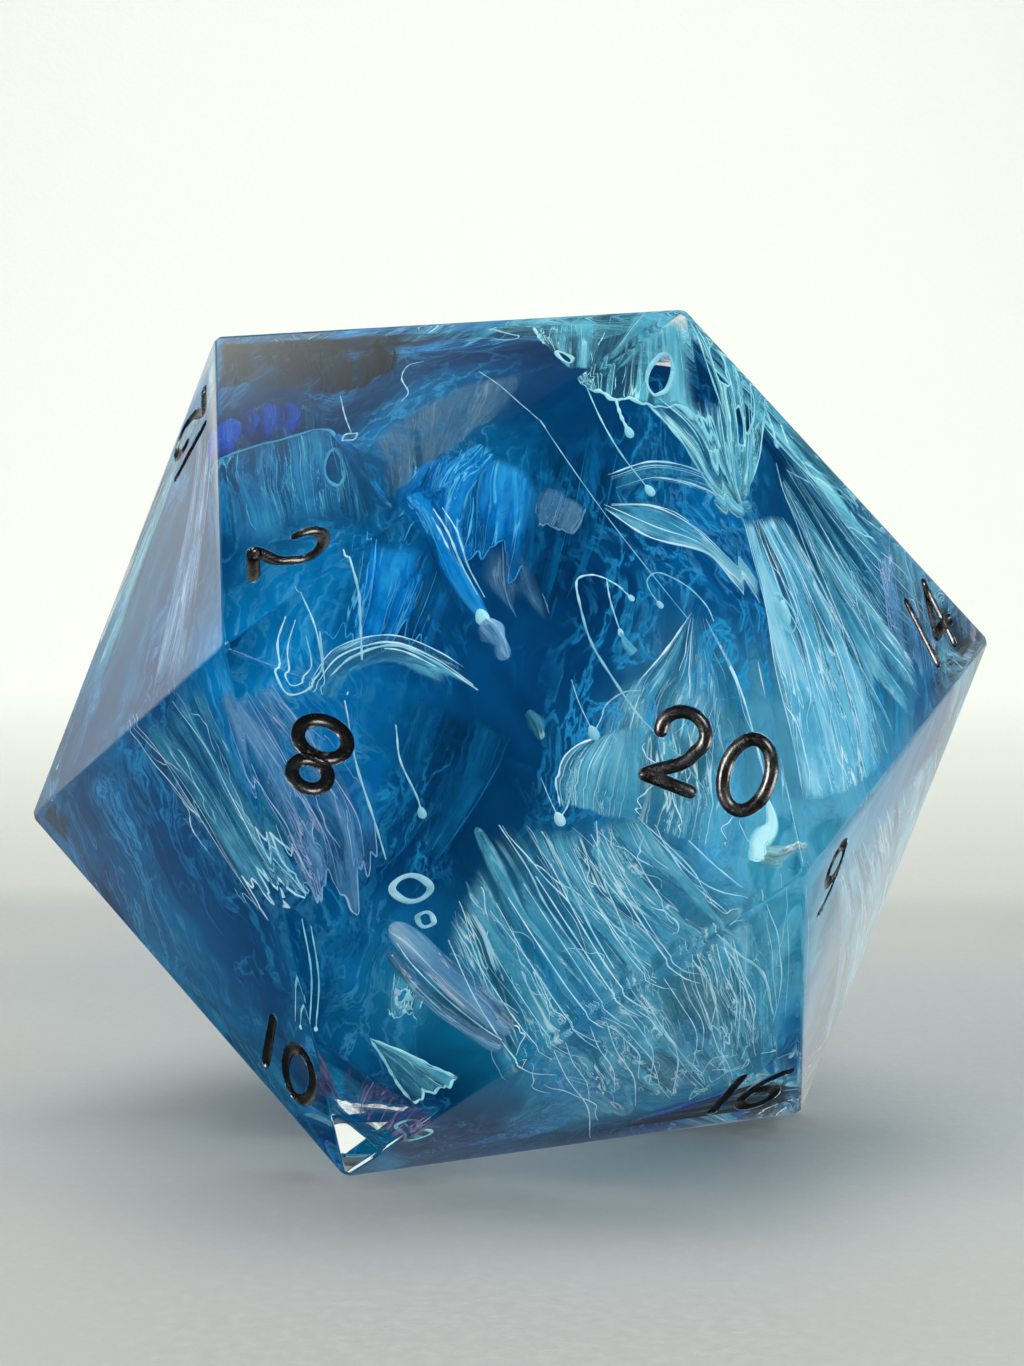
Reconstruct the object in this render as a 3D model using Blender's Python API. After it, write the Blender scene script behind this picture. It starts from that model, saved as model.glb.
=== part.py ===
"""Large sharp-edged twenty-sided die cast in clear resin.

The die lies on its 3 face: the table is z = 0, the 18 face is level on top, and +Z is up.
Coloured inks are sealed in the resin and hang from the pouring face, which carries the 18.
Each numeral is an engraved groove that holds a separate inlay of metallic paint.
"""

import math

import bmesh
import bpy
from mathutils import Matrix, Vector

# Every length is in millimetres. Finished meshes are scaled to metres by MM.
MM = 0.001

# ---- body
FACE_TO_FACE = 40.0
EDGE_BEVEL = 0.14
CORNER_TRIM = 0.55
GOLDEN = (1 + math.sqrt(5)) / 2
EDGE = FACE_TO_FACE * math.sqrt(3) / GOLDEN**2

# ---- numerals: heights and places as shares of the edge, strokes as shares of a digit's height
DIGIT_HEIGHT = 0.150 * EDGE
BASELINE = 0.045 * EDGE
CENTRE_FROM_CORNER = 0.200 * EDGE
STROKE = 0.165
DIGIT_PITCH = 0.80
ONE_PITCH = 0.58
GROOVE_DEPTH = 0.50
INLAY_GAP = 0.03
INLAY_RIM = 0.04
INLAY_DISH = 0.10
CUT_ABOVE = 0.30
STROKE_STEP = 0.006

# ---- inks: each one hangs on a thread from the pouring face
INK_GAP = 0.04
INK_BELOW_FACE = 0.03
INK_SIDES = 8
THREAD = 0.38
THREAD_CIRCLE = 3.4
THREAD_DROP = 1.8
RIPPLE = 0.13
SWAY = 0.16


def clear_scene():
    for old in list(bpy.data.objects):
        bpy.data.objects.remove(old, do_unlink=True)
    for old in list(bpy.data.materials):
        bpy.data.materials.remove(old)


def material(name, colour, roughness, metallic=0.0, alpha=1.0):
    made = bpy.data.materials.new(name)
    made.use_nodes = True
    shader = made.node_tree.nodes["Principled BSDF"]
    shader.inputs["Base Color"].default_value = (*colour, 1.0)
    shader.inputs["Roughness"].default_value = roughness
    shader.inputs["Metallic"].default_value = metallic
    shader.inputs["Alpha"].default_value = alpha
    return made


def link(name, mesh, finish=None, place=None):
    made = bpy.data.objects.new(name, mesh)
    bpy.context.scene.collection.objects.link(made)
    if finish:
        made.data.materials.clear()
        made.data.materials.append(finish)
    if place:
        made.matrix_world = place
    return made


def helper(name, mesh, place=None):
    """A cutter, which is never part of the die."""
    made = link(name, mesh, place=place)
    made.hide_render = True
    made.display_type = "WIRE"
    return made


def mesh_from(name, bm):
    bmesh.ops.triangulate(bm, faces=bm.faces)
    bmesh.ops.recalc_face_normals(bm, faces=bm.faces)
    mesh = bpy.data.meshes.new(name)
    bm.to_mesh(mesh)
    bm.free()
    return mesh


def in_metres(mesh, smooth_angle):
    """Scales a finished mesh to metres and shades its round surfaces smooth."""
    mesh.transform(Matrix.Scale(MM, 4))
    mesh.shade_smooth()
    mesh.set_sharp_from_angle(angle=math.radians(smooth_angle))
    return mesh


def place_in_metres(place):
    """The same place with its translation in metres."""
    scaled = place.copy()
    scaled.translation *= MM
    return scaled


# ---- icosahedron: a two-fold axis is local +Z, and the front six corners are C, H, D, G, A, E, B, F
CORNERS = {
    "C": (0, 1, GOLDEN), "H": (0, -1, GOLDEN), "D": (GOLDEN, 0, 1), "G": (-GOLDEN, 0, 1),
    "A": (1, GOLDEN, 0), "B": (-1, GOLDEN, 0), "E": (1, -GOLDEN, 0), "F": (-1, -GOLDEN, 0),
    "D2": (GOLDEN, 0, -1), "G2": (-GOLDEN, 0, -1), "C2": (0, 1, -GOLDEN), "H2": (0, -1, -GOLDEN),
}
OPPOSITE = {"C": "H2", "H": "C2", "D": "G2", "G": "D2", "A": "F", "B": "E"}
OPPOSITE.update({far: near for near, far in OPPOSITE.items()})

# Each face as bottom left, bottom right and apex of its numeral. The far ten follow: opposites sum to 21.
FACES = {
    20: "C H D", 8: "H C G", 2: "A C D", 12: "C A B", 10: "B G C",
    16: "G F H", 6: "E H F", 14: "H E D", 3: "F G G2", 17: "G B G2",
}


def all_faces():
    found = {}
    for number, names in FACES.items():
        left, right, apex = names.split()
        found[number] = (left, right, apex)
        found[21 - number] = (OPPOSITE[right], OPPOSITE[left], OPPOSITE[apex])
    return found


def row_corners():
    """Corner name to its place with the 3 face flat on the table and local +Z turned to face -Y."""
    local = {name: Vector(place) * (EDGE / 2) for name, place in CORNERS.items()}
    left, right, apex = (local[name] for name in FACES[3].split())
    up = (apex - left).cross(right - left).normalized()
    back = Vector((0, 0, -1))
    turn = Matrix((back.cross(up), back, up))
    raise_by = Vector((0, 0, FACE_TO_FACE / 2))
    return {name: turn @ place + raise_by for name, place in local.items()}


def face_frame(corners, names):
    """Matrix from a face's own axes (x along the numeral's baseline, y to the apex, z out) to the die."""
    left, right, apex = (corners[name] for name in names)
    x = (right - left).normalized()
    z = (right - left).cross(apex - left).normalized()
    y = z.cross(x)
    frame = Matrix((x, y, z)).transposed().to_4x4()
    frame.translation = left
    return frame


def icosahedron(corners):
    bm = bmesh.new()
    made = {name: bm.verts.new(place) for name, place in corners.items()}
    for names in all_faces().values():
        bm.faces.new([made[name] for name in names])
    bmesh.ops.bevel(
        bm, geom=list(bm.verts), offset=CORNER_TRIM, affect="VERTICES",
        segments=3, profile=0.5, clamp_overlap=True,
    )
    long_edges = [e for e in bm.edges if e.calc_length() > EDGE / 2]
    bmesh.ops.bevel(
        bm, geom=long_edges, offset=EDGE_BEVEL, affect="EDGES",
        segments=2, profile=0.5, clamp_overlap=True,
    )
    return bm


# ---- digit strokes in a box one unit high, centred on x = 0
def arc(cx, cy, rx, ry, start, end, count):
    turns = [math.radians(start + (end - start) * i / (count - 1)) for i in range(count)]
    return [(cx + rx * math.cos(t), cy + ry * math.sin(t)) for t in turns]


def ring(cx, cy, rx, ry, count=12):
    return arc(cx, cy, rx, ry, 90, 90 + 360 * (count - 1) / count, count)


def strokes(digit):
    """List of (points, closed) centre lines of one digit."""
    low, high = STROKE / 2, 1 - STROKE / 2
    if digit == "0":
        return [(ring(0, 0.5, 0.25, high - 0.5), True)]
    if digit == "1":
        return [([(0, high), (0, low)], False)]
    if digit == "2":
        bowl = arc(0.0, high - 0.24, 0.25, 0.24, 196, -38, 9)
        return [(bowl + [(0.06, 0.32), (-0.12, 0.19), (-0.24, low)], False),
                ([(-0.24, low), (0.27, low)], False)]
    if digit == "3":
        return [(arc(-0.02, high - 0.20, 0.23, 0.20, 150, -90, 8), False),
                (arc(-0.02, low + 0.24, 0.27, 0.24, 90, -150, 8), False)]
    if digit == "4":
        return [([(0.10, high), (-0.27, 0.34)], False),
                ([(-0.27, 0.34), (0.29, 0.34)], False),
                ([(0.10, high), (0.10, low)], False)]
    if digit == "5":
        return [([(-0.18, high), (0.22, high)], False),
                ([(-0.18, high), (-0.22, 0.54)], False),
                ([(-0.22, 0.54)] + arc(0.0, low + 0.255, 0.26, 0.255, 108, -140, 8), False)]
    if digit == "6":
        return [(ring(0, low + 0.23, 0.25, 0.23, 11), True),
                ([(0.16, high), (-0.04, 0.80), (-0.19, 0.60), (-0.25, 0.32)], False)]
    if digit == "7":
        return [([(-0.26, high), (0.25, high)], False), ([(0.25, high), (-0.08, low)], False)]
    if digit == "8":
        return [(ring(0, 0.30, 0.275, 0.30 - low, 11), True),
                (ring(0, 0.745, 0.20, high - 0.745, 9), True)]
    return [([(-x, 1 - y) for x, y in points], closed) for points, closed in strokes("6")]


def section(depth, half, top, dish):
    """Cross section of a groove, or with a dish of its inlay: (sideways, up), round below."""
    turns = [math.radians(60 * i) for i in range(4)]
    under = [(half * math.cos(t), min(-depth * math.sin(t), 0 if dish is None else top)) for t in turns]
    return under + ([(-half, top), (half, top)] if dish is None else [(0.0, top - dish)])


def stroke_shell(points, closed, depth, half, top, dish=None):
    """One closed shell along a stroke, with ball-shaped ends, in its face's own frame."""
    bm = bmesh.new()
    line = [Vector(p) * DIGIT_HEIGHT for p in points]
    count = len(line)
    sides, tangents = [], []
    for i in range(count):
        before = line[i - 1] if closed or i else line[i]
        after = line[(i + 1) % count] if closed or i < count - 1 else line[i]
        tangent = (after - before).normalized()
        tangents.append(tangent)
        sides.append(Vector((-tangent.y, tangent.x)))
    stations = [(line[i], sides[i], 1.0) for i in range(count)]
    if not closed:
        size, reach = 0.5, half * 0.86
        stations.insert(0, (line[0] - tangents[0] * reach, sides[0], size))
        stations.append((line[-1] + tangents[-1] * reach, sides[-1], size))
    rows = []
    for place, side, size in stations:
        shape = section(depth * size, half * size, top, None if dish is None else dish * size)
        flats = [(place + side * across, up) for across, up in shape]
        rows.append([bm.verts.new((flat.x, flat.y, up)) for flat, up in flats])
    loops = len(rows) if closed else len(rows) - 1
    for i in range(loops):
        here, there = rows[i], rows[(i + 1) % len(rows)]
        for k in range(len(here)):
            after = (k + 1) % len(here)
            bm.faces.new((here[k], here[after], there[after], there[k]))
    if not closed:
        bm.faces.new(rows[0])
        bm.faces.new(list(reversed(rows[-1])))
    return mesh_from("stroke", bm)


def digit_places(number):
    """[(digit, x of its centre)] along the baseline, measured in digit heights from the number's middle."""
    text = str(number)
    if len(text) == 1:
        return [(text, 0.0)]
    pitch = ONE_PITCH if text[0] == "1" else DIGIT_PITCH
    if text == "11":
        pitch = 0.45
    return [(text[0], -pitch / 2), (text[1], pitch / 2)]


def digit_frame(frame, x):
    middle = EDGE - CENTRE_FROM_CORNER
    return frame @ Matrix.Translation((middle + x * DIGIT_HEIGHT, BASELINE, 0))


def combined(name, first, others, operation):
    """The mesh that the Booleans of first with each of the others make. It removes them all.

    EXACT loses pieces where small ball-ended strokes meet, so these use MANIFOLD. Each mesh is closed.
    """
    for other in others:
        join = first.modifiers.new(operation.lower(), "BOOLEAN")
        join.operation, join.solver, join.object = operation, "MANIFOLD", other
    graph = bpy.context.evaluated_depsgraph_get()
    mesh = bpy.data.meshes.new_from_object(first.evaluated_get(graph))
    mesh.name = name
    for used in (first, *others):
        bpy.data.objects.remove(used, do_unlink=True)
    return mesh


def united(name, shells):
    """One mesh from overlapping closed shells."""
    first, *others = [link(f"{name}_stroke", mesh) for mesh in shells]
    return combined(name, first, others, "UNION")


def digit_meshes(digit):
    """The groove and the paint inlay of one digit, in its own frame."""
    half = STROKE / 2 * DIGIT_HEIGHT
    grooves, inlays = [], []
    for i, (points, closed) in enumerate(strokes(digit)):
        # Each stroke is a little deeper than the last, so that no two faces lie in one plane.
        step = STROKE_STEP * i
        depth, width = GROOVE_DEPTH + step, half + step
        grooves.append(stroke_shell(points, closed, depth, width, CUT_ABOVE + 5 * step))
        inlays.append(stroke_shell(points, closed, depth - INLAY_GAP, width - INLAY_GAP,
                                   -INLAY_RIM - step, INLAY_DISH))
    return united(f"groove_{digit}", grooves), in_metres(united(f"inlay_{digit}", inlays), 40)


def engrave(corners, paint):
    """Makes every inlay, and returns one helper that cuts all of the grooves."""
    shapes = {digit: digit_meshes(digit) for digit in "0123456789"}
    cutter = bmesh.new()
    for number, names in sorted(all_faces().items()):
        frame = face_frame(corners, names)
        for order, (digit, x) in enumerate(digit_places(number), 1):
            place = digit_frame(frame, x)
            groove, inlay = shapes[digit]
            cut = groove.copy()
            cut.transform(place)
            cutter.from_mesh(cut)
            name = f"numeral_{number:02d}"
            if number > 9:
                name += f"_digit_{order}"
            link(name, inlay, paint, place_in_metres(place))
    return helper("cutter_numerals", mesh_from("cutter_numerals", cutter))


# ---- inks. Each row: name, compass angle of its plume, colour, ripple phase, and stations down its
# length as (distance from the middle, height, half width, half thickness).
INKS = (
    ("ink_cloud_deep_blue", 0, (0.010, 0.075, 0.30), 0.0,
     ((0, 34.5, 1.4, 1.4), (0, 31.5, 3.6, 3.4), (0, 27.5, 4.8, 4.6), (0, 22.5, 5.6, 5.2),
      (0, 17.5, 5.0, 5.2), (0, 13.0, 3.8, 3.6), (0, 9.5, 2.0, 1.8))),
    ("ink_curtain_cyan", -42, (0.10, 0.62, 0.72), 0.5,
     ((5.2, 36.6, 1.0, 0.6), (8.0, 34.6, 2.4, 0.8), (11.0, 31.6, 3.4, 1.0), (13.2, 27.6, 3.8, 1.0),
      (14.2, 23.2, 3.0, 0.9), (14.6, 19.4, 1.2, 0.6))),
    ("ink_veil_white", -76, (0.62, 0.80, 0.88), 1.1,
     ((4.8, 35.6, 0.8, 0.6), (7.6, 32.4, 1.8, 0.8), (11.0, 28.0, 3.2, 0.9), (14.0, 22.8, 4.0, 1.0),
      (15.2, 17.6, 4.4, 1.0), (14.6, 12.2, 3.2, 0.8), (12.6, 8.6, 1.2, 0.6))),
    ("ink_ribbons_azure", -108, (0.03, 0.36, 0.78), 2.0,
     ((5.0, 36.4, 0.9, 0.6), (8.0, 34.0, 2.2, 0.8), (11.0, 30.4, 3.2, 1.0), (13.6, 25.6, 3.6, 1.0),
      (14.8, 20.6, 2.6, 0.9), (14.6, 16.8, 1.0, 0.6))),
    ("ink_plume_cobalt", -140, (0.02, 0.12, 0.62), 0.2,
     ((5.4, 36.8, 1.0, 0.7), (8.6, 35.0, 2.2, 1.0), (11.8, 32.2, 3.0, 1.2), (14.0, 28.2, 3.4, 1.2),
      (15.2, 23.4, 2.8, 1.0), (15.4, 18.4, 2.2, 0.9), (14.0, 13.6, 2.0, 0.8), (12.0, 9.6, 0.9, 0.6))),
    ("ink_drips_lavender", 178, (0.42, 0.50, 0.80), 1.5,
     ((5.0, 36.0, 0.9, 0.6), (8.2, 33.2, 2.2, 0.8), (11.6, 29.6, 3.2, 0.9), (14.2, 24.6, 3.4, 1.0),
      (15.2, 19.4, 2.8, 0.9), (14.6, 14.8, 1.0, 0.6))),
    ("ink_plume_teal", 142, (0.02, 0.34, 0.50), 0.9,
     ((5.2, 36.4, 1.0, 0.6), (8.2, 34.0, 2.2, 0.9), (11.6, 30.4, 3.2, 1.1), (14.2, 25.4, 3.6, 1.1),
      (15.2, 19.8, 3.2, 1.0), (14.2, 14.2, 2.4, 0.9), (12.2, 9.8, 1.0, 0.6))),
    ("ink_veil_sky", 106, (0.16, 0.50, 0.78), 2.6,
     ((4.8, 35.8, 0.9, 0.6), (7.8, 32.8, 2.2, 0.8), (11.2, 28.6, 3.4, 1.0), (14.0, 23.6, 3.8, 1.0),
      (15.0, 18.2, 3.2, 0.9), (14.2, 13.2, 1.2, 0.6))),
    ("ink_plume_ultramarine", 70, (0.03, 0.10, 0.52), 0.4,
     ((5.2, 36.6, 1.0, 0.7), (8.4, 34.6, 2.2, 1.0), (11.8, 31.2, 3.2, 1.2), (14.2, 26.4, 3.4, 1.2),
      (15.2, 21.0, 3.0, 1.0), (14.4, 15.4, 2.4, 0.9), (12.4, 10.6, 1.0, 0.6))),
    ("ink_curtain_turquoise", 34, (0.08, 0.52, 0.66), 1.8,
     ((5.0, 36.2, 0.9, 0.6), (8.0, 33.6, 2.2, 0.8), (11.4, 29.8, 3.4, 1.0), (14.2, 24.6, 3.6, 1.0),
      (15.2, 19.0, 2.8, 0.9), (14.6, 14.4, 1.0, 0.6))),
    ("ink_fan_white", -4, (0.66, 0.80, 0.90), 3.0,
     ((5.0, 36.0, 0.8, 0.6), (7.8, 33.0, 1.6, 0.8), (11.2, 29.0, 2.6, 0.9), (14.2, 24.0, 3.4, 1.0),
      (15.4, 18.4, 3.8, 1.0), (14.6, 12.8, 3.0, 0.9), (12.6, 8.8, 1.2, 0.6))),
)


def ink_path(stations, top):
    """Stations of a whole ink: its thread from the pouring face, its plume, and a blunt tip."""
    lead = 0.0 if stations[0][0] == 0 else THREAD_CIRCLE
    thread = [(lead, top, THREAD, THREAD), (lead * 1.04, FACE_TO_FACE - THREAD_DROP, THREAD, THREAD)]
    reach, height, wide, thick = stations[-1]
    tip = (reach * 0.99, height - wide * 0.75, wide * 0.45, thick * 0.45)
    return [*thread, *stations, tip]


def ink_mesh(name, phase, stations, grow, top):
    """One ink in the upright plane y = 0: rings of points down its path, skinned and capped."""
    across, up = Vector((0, 1, 0)), Vector((0, 0, 1))
    path = ink_path(stations, top)
    rows = []
    for i, (reach, height, wide, thick) in enumerate(path):
        in_plume = i > 1
        before, after = path[i - 1 if in_plume else 0], path[min(i + 1, len(path) - 1)]
        down = Vector((after[0] - before[0], 0, after[1] - before[1])).normalized() if in_plume else -up
        normal = across.cross(down).normalized()
        sway = SWAY * wide * math.sin(phase + 0.9 * i) if in_plume else 0
        centre = Vector((reach, sway, height))
        row = []
        for k in range(INK_SIDES):
            turn = 2 * math.pi * k / INK_SIDES
            ripple = 1 + (RIPPLE * math.sin(3 * turn + phase + 1.3 * i) if in_plume else 0)
            row.append(centre + across * (wide * ripple + grow) * math.cos(turn)
                       + normal * (thick * ripple + grow) * math.sin(turn))
        rows.append(row)
    onward = (rows[-1][0] - rows[-2][0]).normalized() * grow
    rows[-1] = [place + onward for place in rows[-1]]

    bm = bmesh.new()
    made = [[bm.verts.new(place) for place in row] for row in rows]
    for here, there in zip(made, made[1:]):
        for k in range(INK_SIDES):
            after = (k + 1) % INK_SIDES
            bm.faces.new((here[k], here[after], there[after], there[k]))
    bm.faces.new(made[0])
    bm.faces.new(list(reversed(made[-1])))
    return mesh_from(name, bm)


def pour_inks():
    """Makes every ink, and returns the helpers that clear their room in the resin."""
    cutters = []
    for name, angle, colour, phase, stations in INKS:
        turned = Matrix.Rotation(math.radians(angle), 4, "Z")
        plume = ink_mesh(name, phase, stations, 0.0, FACE_TO_FACE - INK_BELOW_FACE)
        link(name, in_metres(plume, 50), material(name, colour, 0.35), turned)
        room = ink_mesh(f"cutter_{name}", phase, stations, INK_GAP, FACE_TO_FACE + CUT_ABOVE)
        cutters.append(helper(f"cutter_{name}", room, turned))
    return cutters


def build():
    clear_scene()
    corners = row_corners()
    resin = material("clear_resin", (0.60, 0.82, 0.95), 0.03, alpha=0.3)
    paint = material("gunmetal_paint", (0.16, 0.16, 0.17), 0.28, metallic=0.9)
    cutters = [engrave(corners, paint)] + pour_inks()
    blank = link("blank", mesh_from("blank", icosahedron(corners)))
    link("resin_body", in_metres(combined("resin_body", blank, cutters, "DIFFERENCE"), 20), resin)
    die = link("die", None)
    for piece in bpy.context.scene.objects:
        if piece is not die:
            piece.parent = die


build()
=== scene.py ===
import math
import random

import bmesh
import bpy
import numpy as np
from mathutils import Matrix, Vector, noise


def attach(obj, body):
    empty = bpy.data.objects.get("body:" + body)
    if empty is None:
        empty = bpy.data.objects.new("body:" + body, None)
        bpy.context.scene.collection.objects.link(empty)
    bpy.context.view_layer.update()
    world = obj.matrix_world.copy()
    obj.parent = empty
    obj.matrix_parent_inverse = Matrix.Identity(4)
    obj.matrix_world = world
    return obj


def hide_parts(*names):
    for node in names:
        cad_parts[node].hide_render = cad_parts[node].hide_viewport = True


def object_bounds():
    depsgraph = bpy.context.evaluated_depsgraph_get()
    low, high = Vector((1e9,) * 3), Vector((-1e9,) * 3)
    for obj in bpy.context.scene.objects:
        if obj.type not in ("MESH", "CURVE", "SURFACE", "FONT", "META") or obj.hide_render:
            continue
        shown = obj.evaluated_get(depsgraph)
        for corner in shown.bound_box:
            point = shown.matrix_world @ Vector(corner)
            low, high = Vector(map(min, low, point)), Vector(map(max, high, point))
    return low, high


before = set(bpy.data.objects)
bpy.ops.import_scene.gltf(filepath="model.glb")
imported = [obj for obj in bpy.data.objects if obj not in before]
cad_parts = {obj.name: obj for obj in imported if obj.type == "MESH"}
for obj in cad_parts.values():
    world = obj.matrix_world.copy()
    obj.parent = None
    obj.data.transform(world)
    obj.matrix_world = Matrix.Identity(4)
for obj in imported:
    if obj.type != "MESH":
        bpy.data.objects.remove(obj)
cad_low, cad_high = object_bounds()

MM = 0.001

# ---- camera: 2.5 degrees above level, standing 117 mm in front of the middle of the die
CAMERA_PLACE = (-1.182, -116.704, 27.376)
CAMERA_PITCH = -2.47
CAMERA_YAW = 0.61
CAMERA_ROLL = 0.45
CAMERA_LENS = 59.57
SENSOR = 36.0

# ---- body
FACE_TO_FACE = 1000 * (cad_high.z - cad_low.z)
INRADIUS = FACE_TO_FACE / 2
GOLDEN = (1 + math.sqrt(5)) / 2
EDGE = FACE_TO_FACE * math.sqrt(3) / GOLDEN**2
CENTRE = Vector((0, 0, INRADIUS))
EDGE_BEVEL = 0.14
CORNER_TRIM = 0.55

# ---- numerals, as the CAD part has them
DIGIT_HEIGHT = 0.150 * EDGE
BASELINE = 0.045 * EDGE
CENTRE_FROM_CORNER = 0.200 * EDGE
STROKE = 0.165
DIGIT_PITCH = 0.80
ONE_PITCH = 0.58
PAIR_OF_ONES_PITCH = 0.45
GROOVE_DEPTH = 0.50
INLAY_GAP = 0.02
INLAY_RIM = 0.015
INLAY_DISH = 0.17
CUT_ABOVE = 0.30
STROKE_STEP = 0.004


# ==== meshes

def link(name, mesh, finish=None):
    made = bpy.data.objects.new(name, mesh)
    bpy.context.scene.collection.objects.link(made)
    if finish:
        made.data.materials.clear()
        made.data.materials.append(finish)
    return made


def in_metres(mesh, smooth_angle):
    mesh.transform(Matrix.Scale(MM, 4))
    mesh.shade_smooth()
    mesh.set_sharp_from_angle(angle=math.radians(smooth_angle))
    return mesh


def mesh_from(name, bm):
    bmesh.ops.triangulate(bm, faces=bm.faces)
    bmesh.ops.recalc_face_normals(bm, faces=bm.faces)
    mesh = bpy.data.meshes.new(name)
    bm.to_mesh(mesh)
    bm.free()
    return mesh


def smoothstep(low, high, value):
    share = min(1.0, max(0.0, (value - low) / (high - low)))
    return share * share * (3 - 2 * share)


# ==== the icosahedron and its faces

CORNERS = {
    "C": (0, 1, GOLDEN), "H": (0, -1, GOLDEN), "D": (GOLDEN, 0, 1), "G": (-GOLDEN, 0, 1),
    "A": (1, GOLDEN, 0), "B": (-1, GOLDEN, 0), "E": (1, -GOLDEN, 0), "F": (-1, -GOLDEN, 0),
    "D2": (GOLDEN, 0, -1), "G2": (-GOLDEN, 0, -1), "C2": (0, 1, -GOLDEN), "H2": (0, -1, -GOLDEN),
}
OPPOSITE = {"C": "H2", "H": "C2", "D": "G2", "G": "D2", "A": "F", "B": "E"}
OPPOSITE.update({far: near for near, far in OPPOSITE.items()})

# Each face as bottom left, bottom right and apex of its numeral. Opposite faces add to 21.
FRONT_FACES = {
    20: "C H D", 8: "H C G", 2: "A C D", 12: "C A B", 10: "B G C",
    16: "G F H", 6: "E H F", 14: "H E D", 3: "F G G2", 17: "G B G2",
}


def all_faces():
    found = {}
    for number, names in FRONT_FACES.items():
        left, right, apex = names.split()
        found[number] = (left, right, apex)
        found[21 - number] = (OPPOSITE[right], OPPOSITE[left], OPPOSITE[apex])
    return found


def corner_places():
    """Corner name to its place, with the 3 face flat on the table and the C H edge to the front."""
    local = {name: Vector(place) * (EDGE / 2) for name, place in CORNERS.items()}
    left, right, apex = (local[name] for name in FRONT_FACES[3].split())
    up = (apex - left).cross(right - left).normalized()
    back = Vector((0, 0, -1))
    turn = Matrix((back.cross(up), back, up))
    return {name: turn @ place + CENTRE for name, place in local.items()}


FACES = all_faces()
PLACES = corner_places()


def face_frame(number):
    """Matrix from a face's own axes (x along the numeral's baseline, y to the apex, z out)."""
    left, right, apex = (PLACES[name] for name in FACES[number])
    x = (right - left).normalized()
    z = (right - left).cross(apex - left).normalized()
    y = z.cross(x)
    frame_of = Matrix((x, y, z)).transposed().to_4x4()
    frame_of.translation = left
    return frame_of


FRAMES = {number: face_frame(number) for number in FACES}


def icosahedron():
    bm = bmesh.new()
    made = {name: bm.verts.new(place) for name, place in PLACES.items()}
    for names in FACES.values():
        bm.faces.new([made[name] for name in names])
    bmesh.ops.bevel(
        bm, geom=list(bm.verts), offset=CORNER_TRIM, affect="VERTICES",
        segments=3, profile=0.5, clamp_overlap=True,
    )
    long_edges = [e for e in bm.edges if e.calc_length() > EDGE / 2]
    bmesh.ops.bevel(
        bm, geom=long_edges, offset=EDGE_BEVEL, affect="EDGES",
        segments=3, profile=0.5, clamp_overlap=True,
    )
    return bm


# ==== digits, drawn in a box one unit high and centred on x = 0

def arc(cx, cy, rx, ry, start, end, count):
    turns = [math.radians(start + (end - start) * i / (count - 1)) for i in range(count)]
    return [(cx + rx * math.cos(t), cy + ry * math.sin(t)) for t in turns]


def ring(cx, cy, rx, ry, count=36):
    return arc(cx, cy, rx, ry, 90, 90 + 360 * (count - 1) / count, count)


def strokes(digit):
    """List of (points, closed) centre lines of one digit."""
    low, high = STROKE / 2, 1 - STROKE / 2
    if digit == "0":
        return [(ring(0, 0.5, 0.25, high - 0.5), True)]
    if digit == "1":
        return [([(0, high), (0, low)], False)]
    if digit == "2":
        bowl = arc(0.0, high - 0.24, 0.25, 0.24, 196, -38, 22)
        return [(bowl + [(0.135, 0.40), (0.06, 0.32), (-0.12, 0.19), (-0.20, 0.125), (-0.24, low)], False),
                ([(-0.24, low), (0.27, low)], False)]
    if digit == "3":
        return [(arc(-0.02, high - 0.20, 0.23, 0.20, 150, -90, 20), False),
                (arc(-0.02, low + 0.24, 0.27, 0.24, 90, -150, 20), False)]
    if digit == "4":
        return [([(0.10, high), (-0.27, 0.34)], False),
                ([(-0.27, 0.34), (0.29, 0.34)], False),
                ([(0.10, high), (0.10, low)], False)]
    if digit == "5":
        return [([(-0.18, high), (0.22, high)], False),
                ([(-0.18, high), (-0.22, 0.54)], False),
                ([(-0.22, 0.54)] + arc(0.0, low + 0.255, 0.26, 0.255, 108, -140, 20), False)]
    if digit == "6":
        return [(ring(0, low + 0.23, 0.25, 0.23), True),
                ([(0.16, high), (0.05, 0.885), (-0.04, 0.80), (-0.125, 0.705), (-0.19, 0.60),
                  (-0.235, 0.46), (-0.25, 0.32)], False)]
    if digit == "7":
        return [([(-0.26, high), (0.25, high)], False), ([(0.25, high), (-0.08, low)], False)]
    if digit == "8":
        return [(ring(0, 0.30, 0.275, 0.30 - low), True),
                (ring(0, 0.745, 0.20, high - 0.745), True)]
    return [([(-x, 1 - y) for x, y in points], closed) for points, closed in strokes("6")]


def groove_section(half, depth):
    """Round below and flat above the face: (sideways, up)."""
    turns = [math.radians(180 * i / 8) for i in range(9)]
    under = [(half * math.cos(t), -depth * math.sin(t)) for t in turns]
    return under + [(-half, CUT_ABOVE), (half, CUT_ABOVE)]


def inlay_section(half, depth):
    """Paint that has sunk in the middle of its groove and clings to the walls."""
    turns = [math.radians(12 + 156 * i / 8) for i in range(9)]
    under = [(half * math.cos(t), -depth * math.sin(t)) for t in turns]
    across = [-0.97 + 1.94 * i / 10 for i in range(11)]
    top = [(half * a, -INLAY_RIM - INLAY_DISH * (1 - a * a) ** 0.8) for a in across]
    return under + top


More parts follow.
